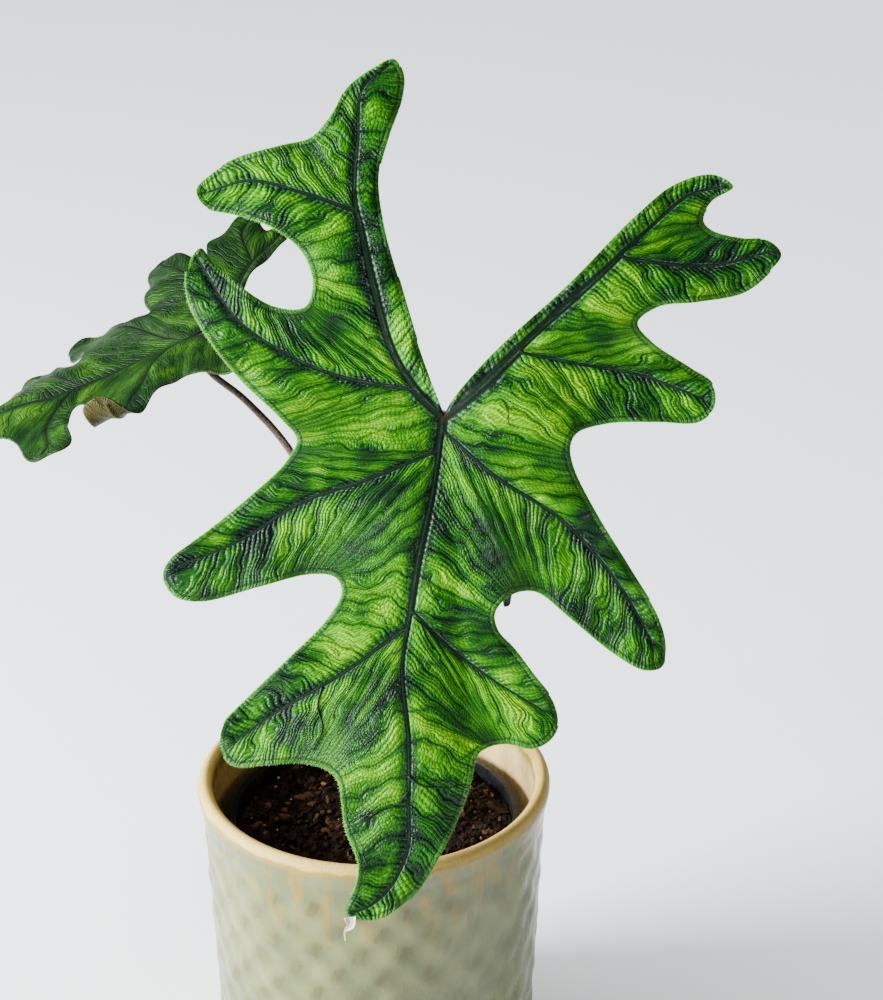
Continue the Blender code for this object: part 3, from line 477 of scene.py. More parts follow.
def make_blade(node, grid, size, warp, place, mirrored, seed, material):
    """One closed blade: every rib is a loop from its vein over the edge to the vein's underside.

    Gives the flat plan, the upper face's heights, and the edge with a line inside it in metres.
    """
    owners, flat, upper, lower, tone, net = blade_surface(grid, size, warp, seed)
    ribs, count = upper.shape

    def sheet(spots, height, tone, net, side):
        """What each place holds: spot, height, tone, net, and 0 above, 0.5 at the rim or 1 below."""
        return np.dstack((spots, height, tone, net, np.full(height.shape, side)))

    rim_spots = flat[:, -1:] + EDGE_ROUND * unit(flat[:, -1:] - flat[:, -2:-1])
    rim = sheet(rim_spots, (upper[:, -1:] + lower[:, -1:]) / 2, tone[:, -1:] * (1, 0, 1), net[:, -1:], 0.5)
    # The lower face has about a third of the rows
    back = [0, 2, 3, *range(6, count - 1, 3), count - 1][::-1]
    above, below = sheet(flat, upper, tone, net, 0.0), sheet(flat, lower, tone, net, 1.0)[:, back]
    loops = np.concatenate((above, rim, below), axis=1)

    # Ribs that leave a vein at one place share its spots above and below
    veins, loop = owners.max() + 1, loops.shape[1]
    number = np.empty((ribs, loop), int)
    number[:, 0] = owners
    number[:, -1] = veins + owners
    number[:, 1:-1] = 2 * veins + np.arange(ribs * (loop - 2)).reshape(ribs, loop - 2)
    held = np.empty((2 * veins + ribs * (loop - 2), loops.shape[2]))
    held[number] = loops
    plan, height, tones, nets, side = np.split(held, (2, 3, 6, 9), axis=1)

    ahead = np.roll(number, -1, axis=0)
    quads = np.stack((number[:, :-1], number[:, 1:], ahead[:, 1:], ahead[:, :-1]), axis=-1).reshape(-1, 4)
    if mirrored:
        quads = quads[:, ::-1]
    shrunk, shut = quads[:, 0] == quads[:, 3], quads[:, 1] == quads[:, 2]
    threes = np.vstack((quads[shrunk][:, :3], quads[shut & ~shrunk][:, [0, 1, 3]]))
    spots = place(plan, height[:, 0]) * MM
    piece = put_mesh(node + "_blade", spots, quads[~shrunk & ~shut], material, threes)
    give(piece, "tone", *tones.T)
    give(piece, "net", *nets.T)
    give(piece, "plan", *(plan / size).T, side[:, 0])
    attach(piece, "root")
    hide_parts(node)
    return flat, upper, spots[number[:, count]], spots[number[:, count - 2]]


def make_fringe(edge, inside):
    """Fine hairs on a blade's edge: slim three-sided spikes that stand off it, no two alike."""
    draw = np.random.default_rng(HAIR_SEED)
    along = lengths(edge)
    at = np.arange(HAIR_SPACING * MM, along[-1], HAIR_SPACING * MM)
    at = at + draw.uniform(-0.4, 0.4, len(at)) * HAIR_SPACING * MM
    base = places_at(at, along, edge)
    off = unit(base - places_at(at, along, inside))
    ahead = unit(places_at(at + 0.4 * MM, along, edge) - base)
    side = np.cross(off, ahead)
    tall = draw.uniform(0.5, 1.0, (len(at), 1)) * HAIR_REACH * MM
    forward = draw.uniform(-0.5, 0.5, (len(at), 1)) * ahead
    sideways = draw.uniform(-0.4, 0.4, (len(at), 1)) * side
    foot = base - off * HAIR_ROOT * MM
    corners = [foot + HAIR_RADIUS * MM * (a * ahead + b * side) for a, b in ((1, 0), (-0.5, 1), (-0.5, -1))]
    spots = np.stack(corners + [base + tall * (off + forward + sideways)], axis=1).reshape(-1, 3)
    start = 4 * np.arange(len(at))[:, None, None]
    faces = (start + np.array(((0, 1, 3), (1, 2, 3), (2, 0, 3), (0, 2, 1)))).reshape(-1, 3)
    hair = cloudy_finish("leaf_hairs", 400.0, (0.35, 0.65), HAIR_COLOURS, 0.5)
    piece = put_mesh("leaf_main_fringe", spots, faces, hair)
    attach(piece, "root")


def circles(line, upright, turn):
    """Ways out from each point of a line, square to it, for a ring of turns."""
    ahead = unit(np.gradient(line, axis=0))
    side = unit(np.cross(ahead, upright))
    return np.cos(turn)[..., None] * side[:, None] + np.sin(turn)[..., None] * np.cross(ahead, side)[:, None]


def round_faces(number):
    """Four-sided faces over a grid of spot numbers, rows by columns, joined round."""
    beside = np.roll(number, -1, axis=1)
    return np.stack((number[:-1], beside[:-1], beside[1:], number[1:]), axis=-1).reshape(-1, 4)


def make_small_veins(flat, upper):
    """Small side veins: slim round cords that lie half sunk in the blade and run out to a point.

    Each ring = course + radius times a unit circle square to it, with the radius falling towards the tip.
    """
    flat, upper = flat.reshape(-1, 2), upper.reshape(-1)
    turn = full_turn(CORD_SIDES)
    spots, walls, caps, start = [], [], [], 0
    for course in SMALL_VEINS:
        line, _ = smooth(course, CORD_STEP)
        nearest = np.linalg.norm(flat[None] - line[:, None], axis=2).argmin(axis=1)
        height = np.convolve(np.pad(upper[nearest], 2, mode="edge"), np.full(5, 0.2), "valid")
        centre = place_main(line, height + CORD_RAISED)
        radius = SMALL_VEIN_RADIUS * np.linspace(1.0, SMALL_VEIN_TAPER, len(line))[:, None, None]
        rings = centre[:, None] + radius * circles(centre, MAIN_AXES[2], turn)
        number = start + np.arange(len(line) * CORD_SIDES).reshape(-1, CORD_SIDES)
        walls.append(round_faces(number))
        for ring, middle in ((number[0, ::-1], number[-1, -1] + 1), (number[-1], number[-1, -1] + 2)):
            caps.append(np.stack((ring, np.roll(ring, -1), np.full(CORD_SIDES, middle)), axis=-1))
        spots += [rings.reshape(-1, 3), centre[[0, -1]]]
        start = number[-1, -1] + 3
    cord = cloudy_finish("small_vein", 900.0, (0.3, 0.7), SMALL_VEIN_COLOURS, 0.4, specular=DULL)
    piece = put_mesh("leaf_main_small_veins", np.vstack(spots) * MM, np.vstack(walls), cord, np.vstack(caps))
    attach(piece, "root")


def roll(across, height, start, radius):
    """Roll a sheet up past start: its place across and its height, with height kept square to the sheet."""
    turn = np.clip((across - start) / radius, 0.0, ROLL_TURN)
    rest = across - start - turn * radius
    ahead, up = np.cos(turn), np.sin(turn)
    past = across > start
    x = np.where(past, start + radius * up + rest * ahead - height * up, across)
    z = np.where(past, radius * (1 - ahead) + rest * up + height * ahead, height)
    return x, z


def fold(across, height, angle, softness):
    """Fold a sheet up along its middle by an angle on each side, softly, with height square to the sheet."""
    bend = np.tanh(across / softness)
    lean = angle * bend
    x = across * math.cos(angle) + (1 - math.cos(angle)) * softness * bend
    z = math.sin(angle) * softness * np.log(np.cosh(across / softness))
    return x - height * np.sin(lean), z + height * np.cos(lean)


def aimed(tip_way, side_way):
    """Square axes of a leaf: across, away from the tip, and out of the upper face."""
    away = -unit(np.array(tip_way))
    across = unit(np.array(side_way) - away * away.dot(side_way))
    return np.array((across, away, np.cross(across, away)))


# Main leaf: its plane faces the camera
MAIN_GRID, MAIN_SEED = (4.75, 7, 20), 5  # spacing of the source's ribs, ribs for each of them, and rows
MAIN_ORIGIN = np.array([23.8, -13.2, 256.8])
MAIN_AXES = np.array([[1.0, 0.0, 0.0], [0.0, math.sin(VIEW_PITCH), math.cos(VIEW_PITCH)],
                      [0.0, -math.cos(VIEW_PITCH), math.sin(VIEW_PITCH)]])

# Back leaf: smaller, mirrored, and seen almost along its face
BACK_GRID, BACK_SEED = (6.6, 10, 15), 17
BACK_SIZE = 0.66
BACK_ORIGIN = np.array([-63.0, 84.0, 246.5])
BACK_AXES = aimed((-0.95, -0.12, -0.22), (0.24, -0.95, -0.05))
BACK_RAISED = 0.17
BACK_HORN = 0.2
BACK_LOWERED = 0.22  # slope down of the far half beside the tip
ROLL_START, ROLL_RADIUS, ROLL_TURN = 44.0, 8.0, 2.4
ROLL_FROM, ROLL_TO = -45.0, -20.0
ROLL_SLANT = 0.2  # how much nearer to the midrib the roll starts, for each millimetre towards the tip

# Where the back leaf's lobes lie otherwise than in the drawing: a place, how far it's moved, and the reach
BACK_LOBES = (
    # Far inner lobe, and the bay between it and the far arm
    ((52, 2), (0, -9), 18), ((30, -6), (-3, -10), 14), ((50, -9), (3, -5), 11), ((33, -11), (1, -5), 10),
    # Bay between the far inner lobe and the horn, and the horn's edges
    ((46, 17), (4, -4), 9), ((48, 13), (2, -3), 8), ((65, 21), (-1, 4), 9), ((33, 31), (1, -3.5), 14),
    # Far arm, its bay and the far leg
    ((46, -43), (5, 1), 9), ((18, -44), (7, -6), 14), ((26, -43), (0, -5), 9), ((23, -62), (5, 0), 11),
    # Near arm, which is rolled up, and the bays beside it
    ((-31, -6), (-5, 0), 9), ((-24, -35), (2, -8), 12), ((-50, -37), (0, -5), 12),
    # Near leg
    ((-46, -66), (0, 4), 16), ((-43, -54), (-7, 5), 12), ((-47, -51), (0, 3), 9), ((-44, -67), (0, 3), 10),
    ((-31, -70), (3, 2.5), 8),
)

# Young leaf: small, still folded, hanging behind the main leaf
YOUNG_GRID, YOUNG_SEED = (8.5, 8, 9), 29
YOUNG_SIZE = 0.32
YOUNG_ORIGIN = np.array([32.5, 40.0, 212.0])
YOUNG_AXES = aimed((0.42, -0.12, -0.9), (0.9, 0.15, 0.42))
YOUNG_FOLD, YOUNG_SOFTNESS = math.radians(50), 2.0


def place_main(plan, height):
    """The main leaf arches back at its tip and horns, along the lines of sight, so its outline stays."""
    u, v = plan.T
    arch = -0.00042 * (v + 20) ** 2 - 0.0005 * (u - 5) ** 2
    hollow = 2.2 * np.tanh(abs(u + 0.08 * v) / 14) - 1.0
    ripple = 1.4 * np.sin(u / 13 + v / 31) * np.cos(v / 17 - 0.6)
    out = arch + hollow + ripple + height
    nearer = 1 - out / SIGHT_DISTANCE
    u, v = SIGHT_U + (u - SIGHT_U) * nearer, SIGHT_V + (v - SIGHT_V) * nearer
    return MAIN_ORIGIN + np.column_stack((u, v, out)) @ MAIN_AXES


def place_back(plan, height):
    """The back leaf is the mirror image of the main one. It droops to its tip, and one lobe is rolled up."""
    u, v = -plan[:, 0], plan[:, 1]
    rolled = (v > ROLL_FROM) & (v < ROLL_TO)
    across, up = roll(u, height, ROLL_START + ROLL_SLANT * (v - ROLL_TO), ROLL_RADIUS)
    across, up = np.where(rolled, across, u), np.where(rolled, up, height)
    ahead = np.maximum(-v, 0.0)
    droop = -0.0016 * ahead ** 2 - 0.0008 * np.maximum(u, 0) ** 2 + 1.6 * np.sin(u / 9 + v / 13)
    horns = 0.5 + 0.5 * np.tanh((v + 22) / 16)
    droop += BACK_RAISED * abs(u) * horns - BACK_LOWERED * np.maximum(-u, 0) * (1 - horns)
    return BACK_ORIGIN + np.column_stack((across, v, up + droop)) @ BACK_AXES


def place_young(plan, height):
    """The young leaf is folded up along its midrib, and bows a little."""
    u, v = plan.T
    across, up = fold(u + 0.05 * v, height, YOUNG_FOLD, YOUNG_SOFTNESS)
    return YOUNG_ORIGIN + np.column_stack((across, v, up - 0.006 * v ** 2)) @ YOUNG_AXES


def main_drawing(flat):
    """The main leaf is the drawing itself."""
    return flat


def back_drawing(flat):
    """The back leaf's own outline: the drawing made smaller, with its lobes moved a little."""
    u, v = (BACK_SIZE * flat).T
    far_horn = (0.5 + 0.5 * np.tanh((u - 12) / 12)) * (0.5 + 0.5 * np.tanh(v / 10))
    along = v * (1 - BACK_HORN * far_horn) + 1.8 * np.sin(u / 16 - 0.8)
    spots = np.column_stack((u + 1.6 * np.sin(v / 15 + 0.6), along))
    for place, way, reach in BACK_LOBES:
        away = np.linalg.norm(spots - place, axis=1)
        spots = spots + np.exp(-(away / reach) ** 2)[:, None] * way
    return spots


def young_drawing(flat):
    """The young leaf's own outline: smaller still."""
    u, v = (YOUNG_SIZE * flat).T
    return np.column_stack((u + 0.6 * np.sin(v / 7 + 1.7), v + 0.6 * np.sin(u / 6 + 0.4)))


class Term:
    """An output in a material, which can be reckoned with like a number: each sign adds a node."""

    def __init__(self, finish, socket):
        self.finish = finish
        self.socket = socket

    def __add__(self, other):
        return self.finish.reckon("ADD", self, other)

    def __sub__(self, other):
        return self.finish.reckon("SUBTRACT", self, other)

    def __rsub__(self, other):
        return self.finish.reckon("SUBTRACT", other, self)

    def __mul__(self, other):
        return self.finish.reckon("MULTIPLY", self, other)

    def __rtruediv__(self, other):
        return self.finish.reckon("DIVIDE", other, self)

    def __abs__(self):
        return self.finish.reckon("ABSOLUTE", self)


class Finish:
    """A material put together a node at a time: each call adds a node and gives its output."""

    def __init__(self, name):
        self.material = bpy.data.materials.new(name)
        self.material.use_nodes = True
        self.tree = self.material.node_tree
        self.shader = self.tree.nodes["Principled BSDF"]

    def feed(self, socket, value):
        """Join an output to a socket, or set a plain value on it."""
        if isinstance(value, Term):
            self.tree.links.new(value.socket, socket)
        else:
            socket.default_value = value

    def put(self, kind, inputs, output=0, **settings):
        """A node of a kind with its settings and inputs."""
        node = self.tree.nodes.new("ShaderNode" + kind)
        for key, value in settings.items():
            setattr(node, key, value)
        for key, value in inputs.items():
            self.feed(node.inputs[key], value)
        return Term(self, node.outputs[output])

    def reckon(self, operation, *values):
        """A sum, a product and the like."""
        return self.put("Math", dict(enumerate(values)), operation=operation)

    def most(self, first, *others):
        """The highest of some."""
        for other in others:
            first = self.reckon("MAXIMUM", first, other)
        return first

    def drawn(self, value):
        """A number from 0 to 1, drawn anew for each value."""
        return self.put("TexWhiteNoise", {"W": value}, "Value", noise_dimensions="1D")

    def to_whole(self, value):
        """Distance to the nearest whole number."""
        return self.reckon("PINGPONG", value, 0.5)

    def rise(self, value, low, high, at_low=0.0, at_high=1.0):
        """An S from at_low to at_high as the value goes from low to high."""
        return self.put("MapRange", {"Value": value, "From Min": low, "From Max": high, "To Min": at_low,
                                     "To Max": at_high}, interpolation_type="SMOOTHSTEP")

    def fade(self, value, low, high):
        """1 up to low and 0 from high, with an S between."""
        return self.rise(value, low, high, 1.0, 0.0)

    def three(self, name):
        """The three parts of a stored vector."""
        vector = self.put("Attribute", {}, "Vector", attribute_name=name)
        return [self.put("SeparateXYZ", {0: vector}, part) for part in range(3)]

    def place(self, x, y):
        """A vector from two parts."""
        return self.put("CombineXYZ", {0: x, 1: y})

    def object_place(self):
        """The place on the object, in metres."""
        return self.put("TexCoord", {}, "Object")

    def noise(self, where, scale, detail=2.0, roughness=0.5):
        """Cloudy noise around 0.5."""
        return self.put("TexNoise", {"Vector": where, "Scale": scale, "Detail": detail,
                                     "Roughness": roughness}, "Fac")

    def mix(self, share, a, b):
        """Colour a where share is 0 and b where it is 1."""
        return self.put("Mix", {0: share, 6: a, 7: b}, 2, data_type="RGBA")

    def coats(self, colour, *coats):
        """A colour with coats laid over it in turn, each of them a share and a colour."""
        for share, coat in coats:
            colour = self.mix(share, colour, coat)
        return colour

    def ramp(self, value, stops):
        """A colour for each value, blended between the stops."""
        node = self.tree.nodes.new("ShaderNodeValToRGB")
        self.feed(node.inputs[0], value)
        elements = node.color_ramp.elements
        while len(elements) < len(stops):
            elements.new(0.5)
        for element, (place, colour) in zip(elements, stops):
            element.position = place
            element.color = colour
        return Term(self, node.outputs[0])

    def finish(self, colour, roughness, height=None, depth=0.001, strength=1.0, specular=0.5):
        """Join colour, roughness and bump to the shader, and set how much it mirrors."""
        self.feed(self.shader.inputs["Base Color"], colour)
        self.feed(self.shader.inputs["Roughness"], roughness)
        if height is not None:
            bump = self.put("Bump", {"Height": height, "Distance": depth, "Strength": strength})
            self.feed(self.shader.inputs["Normal"], bump)
        self.shader.inputs["Specular IOR Level"].default_value = specular
        return self.material


def rgb(red, green, blue):
    """Screen colour from 0 to 255, made linear."""
    part = [value / 255 for value in (red, green, blue)]
    return (*[v / 12.92 if v <= 0.04045 else ((v + 0.055) / 1.055) ** 2.4 for v in part], 1.0)


DULL = 0.1  # how much leaves and soil mirror
NOTCH_COLOUR = rgb(30, 19, 10)
HAIR_COLOURS = rgb(158, 182, 116), rgb(200, 212, 176)
SMALL_VEIN_COLOURS = rgb(8, 17, 11), rgb(26, 44, 22)
DRY_COLOURS = rgb(232, 220, 200), rgb(196, 176, 146)
GREENS = ((0.0, rgb(4, 17, 12)), (0.22, rgb(9, 40, 14)), (0.42, rgb(22, 80, 4)), (0.62, rgb(54, 124, 0)),
          (0.82, rgb(102, 168, 0)), (1.0, rgb(158, 204, 0)))
DARK_GREENS = ((0.0, rgb(6, 19, 8)), (0.25, rgb(10, 31, 9)), (0.5, rgb(16, 43, 9)), (0.75, rgb(29, 62, 9)),
               (1.0, rgb(60, 98, 14)))
# In these leaf colours, the pale tint beside the veins is a painted glint, and it also colours the specks of
# hair
MAIN_COLOURS = {"vein": rgb(9, 25, 13), "glint_and_hair": rgb(96, 132, 96), "line": rgb(3, 14, 8),
                "edge": rgb(52, 104, 6), "under": rgb(66, 82, 34)}
BACK_COLOURS = {"vein": rgb(10, 20, 10), "glint_and_hair": rgb(50, 68, 36), "line": rgb(5, 15, 6),
                "edge": rgb(24, 48, 10), "under": rgb(52, 48, 13)}
YOUNG_COLOURS = {**BACK_COLOURS, "edge": rgb(24, 60, 10), "under": rgb(24, 58, 10)}
CRUMB_COLOURS = (0.0, rgb(5, 3, 2)), (0.5, rgb(17, 11, 6)), (1.0, rgb(38, 25, 12))
BARK_COLOURS = (0.0, rgb(16, 10, 5)), (0.5, rgb(34, 21, 10)), (1.0, rgb(78, 53, 27))
PALE_BIT_COLOURS = (0.0, rgb(84, 62, 38)), (0.6, rgb(130, 104, 68)), (1.0, rgb(176, 152, 110))
SOIL_COLOURS = (0.25, rgb(5, 3, 1)), (0.5, rgb(16, 10, 5)), (0.68, rgb(36, 22, 9)), (0.8, rgb(62, 40, 18))
STALK_COLOURS = ((0.3, rgb(22, 14, 9)), (0.46, rgb(44, 29, 18)), (0.58, rgb(74, 52, 32)),
                 (0.75, rgb(92, 78, 42)))


def cloudy_finish(name, scale, spread, colours, roughness, detail=2.0, depth=0.0, specular=0.5):
    """Two colours that run into each other in clouds, with a relief to match where it has a depth."""
    f = Finish(name)
    cloud = f.noise(f.object_place(), scale, detail)
    colour = f.mix(f.rise(cloud, *spread), *colours)
    return f.finish(colour, roughness, cloud if depth else None, depth, specular=specular)


def branching(f, line, out, pitch, first_draw, bend):
    """Fine veins at whole line numbers, and forks that leave one somewhere and bend to the gap's middle.

    Gives the gap's number and draw, how far across the gap a place is from the side that forks, the
    distances to the nearest vein and to the fork in millimetres, and whether the fork has begun.
    """
    gap = f.reckon("FLOOR", line)
    draw = f.drawn(gap + first_draw)
    flip = f.reckon("GREATER_THAN", f.drawn(gap + (first_draw + 37.3)), 0.5)
    from_side = abs(f.reckon("FRACT", line) - flip)
    begun = out - draw * (2.5 * bend)
    fork = abs(from_side - f.rise(begun, 0.0, bend, 0.0, 0.5)) * pitch
    return gap, draw, from_side, f.to_whole(line) * pitch, fork, f.rise(begun, 0.0, 0.4)


def leaf_finish(name, stops, colours, line_strength, gloss, relief):
    """Quilted leaf: bands from dark to yellow-green, dark fine veins along the ribs, a net between them.

    The blade stores these for each place. tone: its brightness, how far in from the edge it is, and its
    distance to the vein in half widths. net: its fine vein's number, its distance to the vein, and the
    spacing of fine veins. plan: where it lies on the drawing, and whether it's below.
    """
    f = Finish(name)
    line, out, pitch = f.three("net")
    bright, inset, vein = f.three("tone")
    plan_u, plan_v, below = f.three("plan")
    plan = f.place(plan_u, plan_v)
    drift = f.noise(plan, 0.11)
    jitter = f.noise(plan, 0.26, 1.5)
    grain = f.noise(plan, 2.6, 3.0, 0.6)

    # Fine veins with their forks, and the rungs that make a net of them
    calm = f.reckon("MINIMUM", STRAY_ROOM / pitch, 1.1)
    strayed = line + (jitter - 0.5) * (calm * 1.1)
    gap, draw, from_side, whole, fork, forked = branching(f, strayed, out, pitch, 0.0, 6.0)
    force = f.rise(f.drawn(f.reckon("FLOOR", strayed + 0.5) + 91.5), 0.0, 1.0, 0.35, 1.0)
    lines = f.fade(whole, 0.03, 0.3) * force
    forks = f.fade(fork, 0.03, 0.28) * (forked * f.rise(pitch, 0.9, 1.5))
    steps = (out + jitter * 3.0) * 0.8 + draw * 7.0 + f.rise(from_side, 0.45, 0.5) * 0.4
    rung = f.to_whole(steps) * 1.25
    net = f.fade(rung, 0.06, 0.28)

    # Bold veins, and the shade on both sides of them
    bold_line, bold_pitch = strayed * (1.0 / BOLD_EVERY), pitch * BOLD_EVERY
    _, _, _, stem, limb, limbed = branching(f, bold_line, out, bold_pitch, 11.0, 9.0)
    bold = f.most(f.fade(stem, 0.08, 0.48), f.fade(limb, 0.06, 0.42) * limbed)
    shade = f.most(f.fade(stem, 0.2, 1.9), f.fade(limb, 0.2, 1.7) * limbed)
    margin = f.fade(inset, 1.2, 1.7)
    dark = f.most(bold * 0.92, lines * 0.82, forks * 0.86, net * 0.8)
    dark = dark * f.rise(vein, 0.95, 1.5) * (1.0 - margin * 0.75)

    # The blade's own green
    fleck = f.drawn(f.reckon("FLOOR", steps) * 17.7 + gap)
    level = bright + (grain - 0.5) * 0.3 + (fleck - 0.5) * 0.12 - (shade - 0.3) * 0.14 + (drift - 0.5) * 0.3
    level = level * (1.0 - margin * 0.65) + margin * 0.28
    green = f.ramp(f.reckon("MINIMUM", level, BRIGHT_MOST), stops)

    # What lies over it
    hem = f.rise(inset, 1.1, 1.5) * f.fade(inset, 1.7, 2.3) * f.rise(grain, 0.35, 0.6, 0.25, 1.0)
    # Painted glint: a pale broken line along each side of the main veins, where the groove's slope would
    # catch the light
    glint_and_hair = f.rise(vein, 0.9, 1.15) * f.fade(vein, 1.2, 1.6) * f.rise(jitter, 0.42, 0.6)
    cord = f.fade(vein, 0.74, 1.02)
    from_notch = f.put("VectorMath", {0: plan}, "Value", operation="LENGTH")
    hairy = f.most(f.rise(vein, 1.0, 1.5) * f.fade(vein, 2.0, 4.0), margin * 0.8)
    specks = f.rise(f.noise(plan, 1.9, 1.0), 0.62, 0.68) * hairy
    underside = f.mix(dark * 0.4, colours["under"], colours["vein"])
    colour = f.coats(green, (dark * line_strength, colours["line"]), (hem * 0.85, colours["line"]),
                     (f.fade(inset, 0.15, 0.6) * 0.8, colours["edge"]), (glint_and_hair * 0.3, colours["glint_and_hair"]),
                     (cord, colours["vein"]), (f.fade(from_notch, 0.6, 2.0) * 0.9, NOTCH_COLOUR),
                     (specks * 0.45, colours["glint_and_hair"]), (f.rise(below, 0.4, 0.6), underside))

    pillow = f.rise(whole, 0.0, 0.75) * f.rise(fork, 0.0, 0.4, 0.6, 1.0) * 0.5
    pillow = pillow + f.rise(rung, 0.0, 0.4) * 0.18
    height = (pillow - bold * 0.25 + grain * 0.07 - hem * 0.3) * f.rise(vein, 0.7, 1.4, 0.1, 1.0)
    roughness = f.rise(grain, 0.35, 0.7, gloss, gloss + 0.2) + cord * 0.15
    return f.finish(colour, roughness, height, relief, specular=DULL)


def glaze_finish():
    """Sage glaze, darker in the dents, over a bare clay rim and foot, and a tan inside.

    Upright ochre runs come down from the rim, and olive strokes lie on one side of each dent: partly the
    glaze's own colour, partly painted shade.
    """
    f = Finish("sage_glaze_surface")
    round_way, height, inside = f.three("wrap")
    dent, glaze_stroke_and_shade, _ = f.three("dents")
    where = f.place(round_way, height)
    cloud = f.noise(where, 0.05, 3.0, 0.6)
    streak = f.noise(f.place(round_way, height * 0.35), 0.16, 3.0, 0.6)
    fleck = f.noise(where, 0.9, 2.0, 0.6)
    runs = f.rise(f.noise(f.place(round_way, height * 0.3), 0.2, 3.0, 0.6), 0.48, 0.64)
    # Olive strokes on one side of each dent: partly the glaze's own colour, partly painted shade
    olive = f.rise(glaze_stroke_and_shade, 0.1, 0.7) * f.rise(streak, 0.38, 0.58)
    drifting = height + (f.noise(where, 0.12) - 0.5) * 3.0
    bare = f.reckon("MINIMUM", f.rise(drifting, 116.9, 118.2) + f.fade(drifting, 2.6, 3.4), 1.0)
    sage = f.mix(f.rise(cloud, 0.35, 0.65), rgb(84, 90, 52), rgb(104, 108, 64))
    tan = f.mix(f.rise(streak, 0.35, 0.7), rgb(206, 178, 122), rgb(180, 148, 90))
    clay = f.mix(f.rise(f.noise(where, 1.6, 3.0), 0.35, 0.7), rgb(186, 160, 84), rgb(164, 134, 58))
    colour = f.coats(sage, (f.rise(dent, 0.2, 0.9) * 0.3, rgb(68, 78, 42)),
                     (runs * f.rise(height, 78.0, 112.0) * 0.8, rgb(126, 100, 14)),
                     (olive * 0.55, rgb(76, 66, 24)), (f.rise(fleck, 0.62, 0.72) * 0.3, rgb(92, 74, 34)),
                     (inside, tan),
                     (f.rise(drifting, 114.4, 116.8) * (1.0 - inside) * 0.7, rgb(142, 112, 24)),
                     (bare, clay))
    roughness = f.rise(streak, 0.3, 0.7, 0.2, 0.34) + bare * 0.4
    return f.finish(colour, roughness, cloud * 0.5 + fleck * 0.25, 0.0006, 0.5, 0.35)


def soil_finish():
    """Dark mix with paler clumps and fibres."""
    f = Finish("soil_surface")
    clump = f.noise(f.object_place(), 260.0, 4.0, 0.65)
    fibre = f.noise(f.object_place(), 900.0, 3.0, 0.6)
    return f.finish(f.ramp(clump, SOIL_COLOURS), 0.9, clump + fibre * 0.4, 0.0012, specular=DULL)


def bits_finish(name, colours):
    """Each bit has its own shade, with streaks in it."""
    f = Finish(name)
    shade = f.put("Attribute", {}, "Fac", attribute_name="shade")
    streak = f.noise(f.object_place(), 700.0, 3.0, 0.6)
    return f.finish(f.ramp(shade * 0.75 + streak * 0.35, colours), 0.8, streak, 0.0004, specular=DULL)


def stalk_finish():
    """Mottled petiole: olive and brown, with short dark dashes round it and a faint lengthwise grain."""
    f = Finish("stalk_surface")
    along, turn, _ = f.three("course")
    dashes = f.noise(f.place(turn * 0.9, along * 0.9), 1.4, 3.0, 0.6)
    cloud = f.noise(f.place(turn * 1.3, along * 0.35), 0.4)
    grain = f.noise(f.place(turn * 3.0, along * 0.3), 2.0)
    colour = f.ramp(dashes * 0.7 + cloud * 0.35, STALK_COLOURS)
    return f.finish(colour, f.rise(grain, 0.3, 0.7, 0.32, 0.5), grain + dashes * 0.5, 0.0003, specular=0.25)


def plastic_finish():
    """Near-black plastic, greyer and rougher where dust lies on it."""
    f = Finish("dark_plastic_surface")
    grain = f.noise(f.object_place(), 900.0)
    dust = f.noise(f.object_place(), 90.0, 3.0, 0.6)
    colour = f.mix(f.rise(dust, 0.45, 0.75), rgb(10, 11, 13), rgb(30, 30, 30))
    return f.finish(colour, f.rise(dust, 0.3, 0.7, 0.35, 0.6), grain, 0.0002, specular=0.2)


def turned(radius, height, turn):
    """Places round the pot's axis, from radius, height and angle."""
    return np.stack(np.broadcast_arrays(radius * np.cos(turn), radius * np.sin(turn), height), axis=-1)


def full_turn(count):
    """Angles once round, in a row."""
    return np.linspace(0, 2 * math.pi, count, endpoint=False)[None]


def put_round(name, spots, material):
    """A surface joined round, from a grid of places in millimetres, rows by columns."""
    number = np.arange(spots.shape[0] * spots.shape[1]).reshape(spots.shape[:2])
    return put_mesh(name, spots.reshape(-1, 3) * MM, round_faces(number), material)


def close_ends(rings, middles, share):
    """The same rings, with a tiny one of that share at each end to close the surface."""
    tiny = middles[:, None] + share * (rings - middles[:, None])
    return np.concatenate((tiny[:1], rings, tiny[-1:]))


